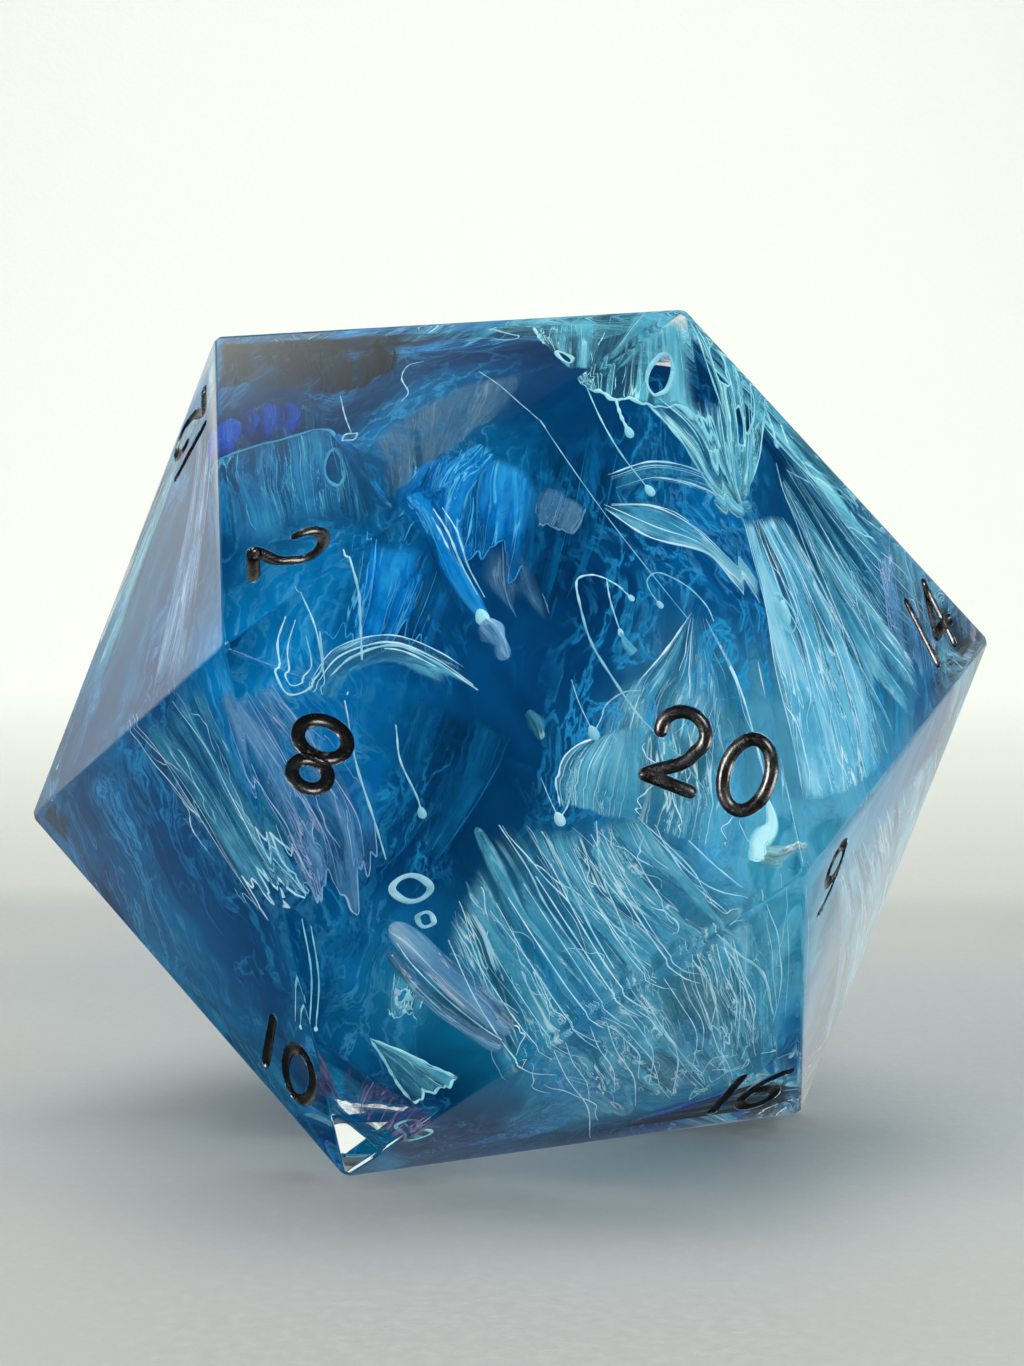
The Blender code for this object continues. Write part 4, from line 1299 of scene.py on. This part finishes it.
def fan_on_the_right():
    ink = "fan_white"
    veil(ink, 14, 2.2, (
        ((10.9, 13.3), (9.1, 9.8), (6.6, 5.7), (4.3, 1.8)),
        ((12.1, 12.8), (11.6, 9.3), (10.3, 5.2), (7.7, 0.6)),
        ((13.6, 12.5), (13.7, 8.4), (13.0, 4.4), (10.7, 0.1)),
        ((14.7, 11.8), (15.0, 7.9), (14.7, 4.3), (13.4, 0.2)),
    ), "pale", strands=60, folds=6, lip=0.04, lips="l", fades=(0.03, 0.1, 0.04, 0.02), wander=0.03)
    veil(ink, 14, 2.0, (
        ((20.7, 7.3), (19.0, 4.6), (17.1, 1.5)),
        ((23.9, 6.6), (22.4, 3.8), (20.1, 1.0)),
        ((25.4, 4.8), (24.9, 2.7), (23.9, 0.8)),
    ), "lavender", strands=18, fold=0.3, folds=4, ragged=0.3, lip=0.04, lips="l",
         fades=(0.1, 0.1, 0.05, 0.05), wander=0.04, strand_size=0.05)
    veil(ink, 6, 1.6, (
        ((21.4, 2.2), (16.3, 9.2), (13.3, 16.1), (12.3, 20.8)),
        ((16.4, 3.9), (10.0, 11.0), (8.1, 16.1), (8.0, 20.9)),
        ((10.5, 4.1), (6.8, 9.0), (6.4, 11.9), (6.2, 16.6)),
        ((4.0, 4.3), (3.0, 6.7), (3.8, 8.7), (4.7, 10.8)),
    ), "pale", strands=40, fold=0.2, ragged=0.15, strand_size=0.05)
    fan(ink, 14, "mist", (17.6, 14.0), 292, 26, 13, 4.5, 36, 2.6, 0.25)
    fan(ink, 14, "white", (15.6, 13.4), 276, 22, 13, 1.6, 24, 2.0, 0.3)
    thread(ink, 14, 1.8, ((16.5, 13.7), (17.5, 12.9), (18.8, 11.7), (19.4, 10.0), (19.6, 8.3)), 0.05)
    thread(ink, 14, 1.8, ((15.9, 14.3), (15.3, 13.1), (15.0, 11.6), (14.5, 9.7), (14.3, 7.1)), 0.05)
    thread(ink, 14, 1.8, ((16.2, 5.7), (17.6, 7.8), (17.5, 6.9), (16.9, 5.2), (16.5, 4.0)), 0.06)
    thread(ink, 20, 1.4, ((21.4, 0.0), (22.7, -0.6), (24.3, -1.2)), 0.06)
    bead_on(ink, 14, (9.9, 8.8, 1.6), 0.42, "cyan", (0, 0, -1))
    ring_of_ink(ink, 14, 1.6, (9.9, 8.8), 0.75, 0.95, 0.07, "cyan")
    ribbon(ink, 20, 1.5, ((24.0, 2.9), (24.6, 1.8), (24.3, 0.9), (24.5, 0.3)),
           (0.06, 0.32, 0.42, 0.40), "spark", thick=0.25)
    ribbon(ink, 20, 1.6, ((24.5, 0.6), (25.3, 0.8), (26.0, 1.5)), (0.4, 0.34, 0.12), "spark")


def ribbons_on_the_left():
    ink = "ribbons_azure"
    veil(ink, 2, 2.4, (
        ((12.9, 7.0), (15.8, 7.5), (18.3, 7.5)),
        ((11.5, 10.3), (14.7, 9.8), (17.4, 9.3)),
        ((11.3, 12.9), (13.6, 12.1), (16.0, 11.1)),
        ((12.0, 15.3), (13.8, 14.5), (14.8, 13.4)),
    ), "smoke", strands=5, fold=0.2, folds=3, fades=(0.08, 0.2, 0.15, 0.02), strand_size=0.03)
    veil(ink, 20, 2.8, (
        ((9.9, 12.9), (10.1, 11.7), (10.6, 10.9)),
        ((10.9, 13.1), (11.2, 11.9), (11.3, 10.9)),
        ((12.2, 12.7), (12.2, 11.8), (11.9, 10.8)),
    ), "fog", strands=6, fold=0.15, folds=2, ragged=0.3, lip=0.05, lips="re",
         fades=(0.1, 0.02, 0.15, 0.02), strand_size=0.03)
    veil(ink, 20, 3.0, (
        ((8.4, 9.5), (9.0, 7.7), (9.9, 6.6)),
        ((9.7, 9.8), (10.7, 7.9), (11.9, 6.4)),
        ((10.4, 9.8), (12.1, 8.0), (13.3, 6.5)),
    ), "fog", strands=6, fold=0.2, folds=2, ragged=0.5, fades=(0.3, 0.3, 0.2, 0.3), strand_size=0.03)
    ribbon(ink, 20, 2.2, ((5.2, 10.0), (6.7, 8.5), (9.0, 6.6), (9.9, 6.0)),
           (0.75, 0.6, 0.42, 0.2), "azure", thick=0.4)
    ribbon(ink, 20, 2.4, ((7.4, 13.5), (6.7, 11.7), (6.9, 9.7), (7.9, 8.1)),
           (0.3, 0.5, 0.45, 0.3), "azure", thick=0.35)
    veil(ink, 20, 2.9, (
        ((4.4, 11.4), (4.6, 9.6), (5.2, 7.8)),
        ((6.2, 12.8), (6.5, 10.6), (7.0, 8.0)),
        ((8.2, 13.6), (8.8, 11.0), (9.2, 7.6)),
        ((10.2, 13.0), (10.5, 10.6), (10.8, 8.4)),
    ), "azure", strands=8, fold=0.4, ragged=0.45, lip=0.04, lips="e", fades=(0.2, 0.2, 0.15, 0.03))
    veil(ink, 20, 2.6, (
        ((2.6, 6.8), (2.9, 4.6), (3.4, 1.8)),
        ((4.2, 7.6), (4.8, 5.0), (5.2, 1.8)),
        ((6.4, 8.2), (6.7, 5.6), (6.8, 2.6)),
        ((8.2, 7.2), (8.2, 5.2), (8.3, 3.2)),
    ), "azure", strands=8, fold=0.4, ragged=0.35, lip=0.03, lips="e", fades=(0.25, 0.2, 0.2, 0.04))
    veil(ink, 20, 3.6, (
        ((7.2, 14.8), (8.2, 12.4), (9.0, 9.6), (9.6, 6.6)),
        ((10.4, 16.4), (11.0, 13.4), (11.6, 10.2), (11.8, 6.4)),
        ((13.4, 15.6), (13.8, 12.8), (14.0, 9.8), (13.6, 7.2)),
    ), "deep", strands=6, fold=0.5, folds=4, ragged=0.4, lip=0.03, fades=(0.2, 0.2, 0.2, 0.06))
    veil(ink, 8, 3.0, (
        ((13.0, 0.4), (13.4, 3.4), (14.0, 6.4), (14.8, 9.4)),
        ((15.8, 0.4), (15.8, 3.6), (16.0, 7.0), (16.4, 10.4)),
        ((19.0, 0.4), (18.6, 3.4), (18.0, 6.6), (17.6, 10.0)),
    ), "deep", strands=6, fold=0.4, folds=4, ragged=0.5, lip=0.03, fades=(0.2, 0.2, 0.1, 0.06))
    bead_on(ink, 20, (9.7, 5.9, 1.8), 0.32, "cyan", (0.4, 0, -0.9), 1.2)
    ribbon(ink, 20, 1.8, ((9.8, 5.7), (10.4, 5.4), (10.9, 5.0), (11.3, 4.4)),
           (0.5, 0.55, 0.34, 0.36), "satin", thick=0.4)
    veil(ink, 20, 1.9, (
        ((3.9, 0.5), (4.4, 2.2), (6.3, 3.6), (8.6, 3.7), (11.3, 3.0)),
        ((4.5, 0.4), (5.0, 1.8), (6.5, 3.0), (8.5, 3.0), (11.0, 2.3)),
        ((5.2, 0.4), (5.6, 1.5), (6.8, 2.4), (8.5, 2.3), (10.6, 1.6)),
    ), "pale", strands=6, fold=0.2, folds=2, ragged=0.2, lip=0.03, lips="l",
         fades=(0.04, 0.3, 0.08, 0.10))
    thread(ink, 20, 1.8, ((4.6, 0.9), (5.2, 2.1), (6.6, 3.2), (8.5, 3.2), (10.7, 2.7)), 0.09)
    thread(ink, 20, 1.5, ((3.3, 6.3), (4.3, 4.9), (4.9, 3.6), (5.6, 2.0)), 0.10)
    thread(ink, 20, 1.5, ((2.0, 3.9), (3.3, 2.5), (4.6, 0.3)), 0.06)
    ring_of_ink(ink, 2, 1.5, (12.9, 6.4), 0.28, 0.38, 0.07, "white")
    thread(ink, 2, 1.5, ((9.0, 6.2), (10.9, 6.3), (12.6, 6.5)), 0.05)
    thread(ink, 2, 1.6, ((8.6, 10.5), (8.5, 9.7), (9.4, 9.3), (10.8, 9.5), (11.4, 9.1)), 0.06)
    for dx, dy, size in ((0, 0, 0.10), (0.35, 0.1, 0.08), (0.7, 0.3, 0.06)):
        points = ((5.6 + dx, 9.7 + dy), (6.6 + dx, 8.9 + dy), (7.6 + dx, 7.9), (8.8 + dx, 6.8))
        thread(ink, 20, 1.9, points, size)


def plume_by_the_upper_left_corner():
    ink = "plume_cobalt"
    veil(ink, 2, 2.6, (
        ((9.9, -0.6), (13.5, -0.4), (18.6, -0.1)),
        ((10.3, 2.4), (14.3, 2.3), (18.6, 2.7)),
        ((10.8, 5.1), (14.3, 5.1), (18.4, 5.1)),
        ((12.8, 5.9), (15.7, 6.1), (19.8, 6.1)),
        ((19.0, 7.7), (19.4, 7.4), (20.0, 7.1)),
    ), "teal", strands=14, fold=0.2, folds=4, holes=((0.58, 0.45, 0.10, 0.22),), lip=0.10, lips="s",
         fades=(0.02, 0.02, 0.01, 0.3))
    ribbon(ink, 2, 2.0, ((11.9, 5.7), (14.1, 6.3), (17.5, 7.0), (19.4, 7.8)),
           (0.2, 0.42, 0.4, 0.2), "azure", thick=0.3)
    for x, y, size in ((6.9, 0.2, 0.75), (6.6, 1.3, 0.6), (6.8, 2.3, 0.7), (7.3, 3.3, 0.65), (7.9, 4.4, 0.5),
                       (8.6, 0.8, 0.5), (8.9, 2.8, 0.55)):
        points = ((x - 0.2, y), (x + 1.0, y + 0.15), (x + 2.2, y), (x + 2.8, y + 0.1))
        ribbon(ink, 2, 2.9 + 0.3 * size, points, (size * 0.7, size, size * 0.7, size * 0.25),
               "cobalt" if size > 0.55 else "azure", size * 0.8, 0.2)
    veil(ink, 8, 2.0, (
        ((14.5, 16.2), (13.5, 17.0), (12.6, 18.0), (11.3, 18.9)),
        ((14.5, 16.2), (13.2, 16.7), (11.9, 17.2), (10.5, 17.8)),
        ((14.5, 16.2), (12.8, 16.2), (11.2, 16.5), (9.9, 16.6)),
    ), "cyan", strands=12, folds=3, ragged=0.15, lip=0.08, lips="lre", fades=(0.02, 0.02, 0.02, 0.02),
         wander=0.04, strand_size=0.05)
    ring_of_ink(ink, 8, 1.5, (11.2, 19.7), 0.75, 0.36, 0.11, "cyan", 20)
    ribbon(ink, 8, 1.5, ((11.6, 19.6), (11.2, 19.8), (10.8, 19.8)), (0.05, 0.12, 0.05), "cyan", thick=0.1)
    ribbon(ink, 8, 1.6, ((15.3, 11.4), (13.9, 12.3), (11.9, 13.2), (10.0, 13.8), (8.8, 13.9)),
           (0.28, 0.42, 0.48, 0.50, 0.52), "satin", thick=0.3, flutes=0.10)
    ribbon(ink, 8, 2.1, ((15.6, 10.3), (13.8, 11.1), (11.9, 11.9), (9.8, 12.8), (8.7, 13.4)),
           (0.50, 0.75, 0.80, 0.7, 0.5), "satin", thick=0.3, flutes=0.10)
    for shift in (-0.45, 0.2):
        thread(ink, 8, 1.35, ((15.0, 11.3 + shift), (13.9, 12.1 + shift), (11.9, 13.1 + shift),
                              (10.0, 13.7 + shift * 0.8), (9.0, 13.8 + shift * 0.5)), 0.06, "white")
    ring_of_ink(ink, 8, 1.6, (15.3, 8.1), 0.85, 0.60, 0.20, "white", 30)
    ring_of_ink(ink, 8, 1.6, (14.2, 9.3), 0.38, 0.34, 0.14, "white")
    veil(ink, 8, 2.0, (
        ((14.9, 12.6), (14.6, 13.6), (14.2, 14.8)),
        ((13.9, 12.4), (13.7, 13.7), (13.5, 15.0)),
        ((12.9, 12.7), (12.9, 13.8), (12.8, 14.7)),
    ), "cyan", strands=6, fold=0.3, folds=3, ragged=0.5, holes=((0.4, 0.5, 0.12, 0.16),), lip=0.05,
         lips="e", fades=(0.3, 0.3, 0.25, 0.05))
    for _ in range(9):
        x, y = 13.9 + DRAW.gauss(0, 0.45), 13.7 + DRAW.gauss(0, 0.6)
        bead_on(ink, 8, (x, y, DRAW.uniform(1.6, 2.3)), DRAW.uniform(0.07, 0.2),
                DRAW.choice(("lavender", "cyan", "cyan")), (0.3, 0.2, -0.9), 1.2)


def drips_on_the_far_left():
    ink = "drips_lavender"
    veil(ink, 8, 2.2, (
        ((25.8, 3.0), (23.2, 6.0), (20.9, 8.7), (19.3, 10.7)),
        ((24.9, 2.1), (21.7, 4.8), (19.2, 7.4), (17.3, 10.9)),
        ((23.8, 1.1), (20.9, 2.9), (18.4, 5.0), (16.7, 7.9)),
    ), "lavender", strands=34, ragged=0.25, lip=0.05, lips="e", fades=(0.06, 0.3, 0.03, 0.02),
         wander=0.04, strand_size=0.04)
    veil(ink, 10, 2.0, (
        ((5.9, 10.4), (10.1, 10.1), (14.2, 9.1), (17.8, 8.5)),
        ((8.6, 14.8), (12.3, 13.5), (16.1, 11.6), (19.3, 10.6)),
        ((11.1, 18.8), (13.3, 16.9), (15.5, 15.0), (17.6, 13.7)),
    ), "mist", strands=34, ragged=0.3, lip=0.07, lips="e", fades=(0.25, 0.06, 0.15, 0.02), wander=0.04,
         strand_size=0.04)
    veil(ink, 12, 1.6, (
        ((22.4, 2.6), (16.8, 3.9), (11.4, 6.3), (6.3, 8.5)),
        ((17.7, 1.3), (12.0, 2.3), (6.4, 3.5), (3.3, 4.6)),
    ), "lavender", strands=30, ragged=0.1, strand_size=0.05)
    thread(ink, 8, 1.6, ((20.9, 0.7), (19.6, 3.2), (17.9, 5.6), (16.8, 7.2)), 0.08)
    thread(ink, 8, 1.8, ((18.5, 1.0), (17.8, 2.5), (16.6, 3.8), (16.1, 4.5)), 0.07, bead=0.25)
    for k in range(2):
        grow = 0.45 * k
        loop = ((2.3 - grow, 2.6), (2.5 - grow, 1.2), (3.2, 0.2 - grow), (3.7 + grow, 0.9),
                (3.0 + grow, 2.1 + grow))
        thread(ink, 20, 1.5 + 0.1 * k, loop, 0.05 + 0.03 * k)
        points = ((19.0 + 0.6 * k, 10.4), (20.2 + 0.5 * k, 7.9), (20.8 + 0.4 * k, 5.0))
        thread(ink, 10, 1.9, points, 0.06, "cyan", 0.12 * k)


def patches_in_the_clear_corners():
    # The dark sheets here are painted shade, put where clear resin looks dark near the corners and edges; the
    # plum sheets are ink.
    veil("drips_lavender", 8, 1.4, (
        ((15.2, 17.4), (15.0, 18.6), (14.6, 19.8)),
        ((13.6, 17.8), (13.7, 19.0), (13.6, 20.1)),
        ((12.0, 18.2), (12.2, 19.4), (12.4, 20.5)),
        ((10.2, 18.4), (10.9, 19.5), (11.6, 20.6)),
    ), "plum", strands=6, fold=0.15, folds=3, ragged=0.15, fades=(0.06, 0.06, 0.25, 0.04))
    veil("drips_lavender", 10, 1.5, (
        ((20.8, 3.4), (22.0, 2.6), (23.2, 1.8)),
        ((21.6, 4.8), (22.8, 3.8), (24.0, 2.6)),
    ), "plum", strands=6, fold=0.15, folds=3, ragged=0.2, fades=(0.15, 0.15, 0.3, 0.1))
    veil("plume_cobalt", 2, 1.3, (
        ((0.3, 0.3), (2.6, 0.2), (4.9, 0.1)),
        ((1.2, 1.8), (3.4, 1.9), (5.6, 1.9)),
        ((2.2, 3.6), (4.8, 3.8), (7.4, 4.0)),
        ((3.4, 5.6), (6.4, 5.8), (9.3, 6.1)),
        ((4.6, 7.8), (6.8, 7.9), (9.2, 7.9)),
        ((5.6, 9.7), (7.2, 9.6), (8.4, 9.2)),
    ), "painted_dark_shade", strands=4, fold=0.12, folds=2, ragged=0.10, fades=(0.02, 0.05, 0.01, 0.03))
    veil("plume_cobalt", 2, 1.1, (
        ((0.4, 0.4), (4.4, 7.4), (8.6, 14.6)),
        ((1.0, 0.3), (5.0, 7.1), (9.0, 14.2)),
        ((1.7, 0.2), (5.6, 6.8), (9.3, 13.6)),
    ), "shadow", fold=0.1, folds=2, fades=(0.02, 0.35, 0.02, 0.30))
    veil("veil_white", 16, 1.3, (
        ((13.0, 0.3), (17.5, 0.3), (21.5, 0.3), (25.9, 0.3)),
        ((15.5, 0.9), (18.5, 1.3), (21.7, 1.8), (25.3, 1.6)),
        ((18.0, 1.6), (20.0, 2.4), (22.0, 3.3), (24.6, 3.0)),
    ), "painted_dark_shade", strands=4, fold=0.12, folds=2, ragged=0.10, fades=(0.02, 0.10, 0.25, 0.02))
    veil("drips_lavender", 10, 1.2, (
        ((0.5, 0.3), (1.7, 0.3), (3.2, 0.3)),
        ((0.8, 1.2), (1.9, 1.3), (2.9, 1.2)),
        ((1.5, 2.4), (2.3, 2.3), (3.0, 2.0)),
    ), "shadow", fold=0.1, folds=2, fades=(0.05, 0.25, 0.05, 0.25))
    veil("fan_white", 14, 1.2, (
        ((23.4, 0.3), (24.6, 0.3), (25.9, 0.3)),
        ((22.8, 1.8), (23.8, 1.9), (25.2, 1.8)),
        ((22.0, 3.4), (23.0, 3.8), (24.4, 3.4)),
    ), "painted_dark_shade", strands=3, fold=0.1, folds=2, ragged=0.1, fades=(0.05, 0.15, 0.12, 0.05))


def haze_below_the_numeral():
    ink = "veil_white"
    veil(ink, 20, 2.8, (
        ((16.2, 6.2), (15.9, 4.4), (16.2, 2.6), (17.4, 0.8)),
        ((19.2, 7.0), (18.9, 5.0), (19.2, 3.0), (20.2, 0.8)),
        ((21.8, 6.0), (22.0, 4.4), (22.6, 2.6), (23.4, 0.8)),
    ), "haze", strands=24, fold=0.3, folds=4, fades=(0.2, 0.15, 0.25, 0.15), wander=0.02,
         strand_size=0.03)
    veil(ink, 16, 2.9, (
        ((7.0, 12.6), (10.4, 8.6), (14.0, 5.0), (17.6, 2.0)),
        ((10.6, 16.6), (13.6, 12.0), (17.0, 7.4), (20.6, 3.2)),
        ((13.8, 20.0), (16.4, 15.4), (19.4, 10.4), (22.2, 5.0)),
    ), "haze", strands=24, fold=0.3, folds=4, fades=(0.1, 0.25, 0.25, 0.15), wander=0.02,
         strand_size=0.03)


def fan(ink, face, look, root, heading, spread, length, width, strands, depth, ragged, lips="", lip=0.05):
    """A sheet that sank from root along heading (degrees in the face) and opened by spread."""
    guides = []
    side = math.radians(heading + 90)
    for k in range(5):
        share = k / 4 - 0.5
        angle = math.radians(heading + spread * share)
        guide = []
        for j in range(5):
            t = j / 4
            sway = share * width + 0.05 * length * math.sin(3.0 * t + 0.7 * k + face)
            guide.append((root[0] + t * length * math.cos(angle) + sway * math.cos(side),
                          root[1] + t * length * math.sin(angle) + sway * math.sin(side)))
        guides.append(guide)
    veil(ink, face, depth, guides, look, strands, fold=0.3, ragged=ragged, lip=lip, lips=lips,
         fades=(0.12, 0.12, 0.06, 0.06))


def sink_threads(ink, face, look, count):
    """Fine threads with beads that sank through one face's share of the resin."""
    for _ in range(count):
        x, y = DRAW.uniform(7, 19), DRAW.uniform(3, 12)
        heading = math.radians(DRAW.uniform(230, 310))
        reach = DRAW.uniform(2.5, 6.5)
        bend = DRAW.uniform(-1.2, 1.2)
        points = [(x + t * reach * math.cos(heading) - bend * t * (1 - t) * math.sin(heading),
                   y + t * reach * math.sin(heading) + bend * t * (1 - t)) for t in (0, 0.35, 0.7, 1.0)]
        thread(ink, face, DRAW.uniform(1.4, 2.2), points, DRAW.uniform(0.05, 0.1), look,
               DRAW.choice((0.0, 0.15, 0.22)))


# Each fan: face, look, root, heading, spread, length, width, strands, depth, ragged, lips, lip.
# Each ring: face, depth, centre, two radii, thickness, look, turn. Each group of threads: face,
# look, count.
BACK_INKS = {
    "plume_teal": {
        "fans": (
            (5, "teal", (13.2, 19.5), 265, 46, 17, 5, 24, 2.4, 0.3, "e"),
            (15, "deep", (6.0, 12.0), 320, 40, 17, 8, 16, 2.8, 0.3),
            (15, "white", (13.0, 17.0), 290, 60, 13, 4, 40, 2.0, 0.3),
            (7, "azure", (12.0, 13.0), 250, 60, 13, 6, 20, 2.4, 0.4, "e"),
            (7, "lavender", (19.0, 6.0), 160, 40, 12, 7, 30, 1.8, 0.3),
            (17, "teal", (13.0, 3.0), 85, 50, 15, 14, 24, 2.2, 0.3),
        ),
        "rings": (),
        "threads": ((15, "white", 7), (7, "cyan", 6)),
    },
    "veil_sky": {
        "fans": (
            (18, "mist", (3.0, 2.0), 35, 40, 20, 8, 36, 2.2, 0.3),
            (18, "cyan", (13.2, 20.0), 268, 56, 9, 3, 24, 1.7, 0.35, "e"),
            (18, "azure", (20.0, 4.0), 150, 50, 15, 6, 18, 2.9, 0.3),
            (13, "white", (17.0, 12.0), 215, 50, 15, 8, 50, 2.0, 0.25),
            (13, "cobalt", (12.0, 17.0), 275, 60, 12, 6, 12, 3.0, 0.4),
            (1, "mist", (10.0, 1.0), 75, 50, 16, 12, 44, 2.1, 0.25),
            (1, "smoke", (19.0, 3.0), 110, 36, 11, 7, 6, 2.8, 0.3),
        ),
        "rings": ((13, 1.5, (9.0, 11.0), 0.9, 0.7, 0.10, "white", 15),),
        "threads": ((13, "white", 8), (18, "white", 6)),
    },
    "plume_ultramarine": {
        "fans": (
            (19, "cobalt", (13.0, 4.0), 90, 60, 14, 14, 18, 2.6, 0.35),
            (19, "white", (8.0, 3.0), 70, 40, 15, 6, 40, 1.9, 0.3),
            (11, "azure", (8.0, 14.0), 300, 40, 13, 6, 18, 2.6, 0.4, "e"),
            (1, "azure", (6.0, 5.0), 50, 40, 11, 5, 14, 2.7, 0.4),
            (3, "deep", (13.0, 3.0), 90, 60, 15, 14, 16, 2.6, 0.3),
        ),
        "rings": (),
        "threads": ((19, "white", 6),),
    },
    "curtain_turquoise": {
        "fans": (
            (4, "cyan", (16.0, 17.5), 240, 40, 14, 4, 30, 1.8, 0.3, "lre", 0.07),
            (4, "teal", (7.0, 6.0), 20, 40, 15, 8, 16, 2.6, 0.3),
            (11, "cyan", (14.0, 18.5), 262, 36, 14, 3, 36, 1.8, 0.3, "re", 0.07),
            (9, "white", (9.0, 2.0), 68, 46, 16, 10, 44, 2.0, 0.25),
            (9, "teal", (19.0, 4.0), 120, 40, 13, 8, 14, 2.7, 0.3),
        ),
        "rings": (),
        "threads": ((4, "white", 6), (11, "white", 7), (9, "cyan", 5)),
    },
}


def inks_at_the_back():
    """Four plumes that are hidden in the photograph: guessed from the colours of the seen ones."""
    for ink, group in BACK_INKS.items():
        for values in group["fans"]:
            fan(ink, *values)
        for values in group["rings"]:
            ring_of_ink(ink, *values)
        for values in group["threads"]:
            sink_threads(ink, *values)


def make_inks(materials):
    """One piece for the sheets of each ink, and one for its threads, ribbons and drops."""
    for kind, batches, suffix in (("sheet", SHEETS, "sheets"), ("solid", SOLIDS, "threads")):
        for ink, batch in batches.items():
            piece = batch.object(f"{ink}_{suffix}", materials[kind])
            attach(piece, "root")
            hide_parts(f"ink_{ink}")


make_camera()
make_world()
make_lights()
make_ceiling()
make_sweep()
set_render_quality()
grooves = make_numerals(paint_material())
make_resin(grooves, resin_material())
make_wisps(make_core(core_material()))
curtain_by_the_upper_corner()
veils_on_the_front()
threads_on_the_front()
fine_threads_on_the_front()
fan_on_the_right()
ribbons_on_the_left()
plume_by_the_upper_left_corner()
drips_on_the_far_left()
patches_in_the_clear_corners()
haze_below_the_numeral()
inks_at_the_back()
make_inks({"sheet": {look: sheet_material(look) for look in LOOKS},
           "solid": {look: solid_material(look) for look in LOOKS}})
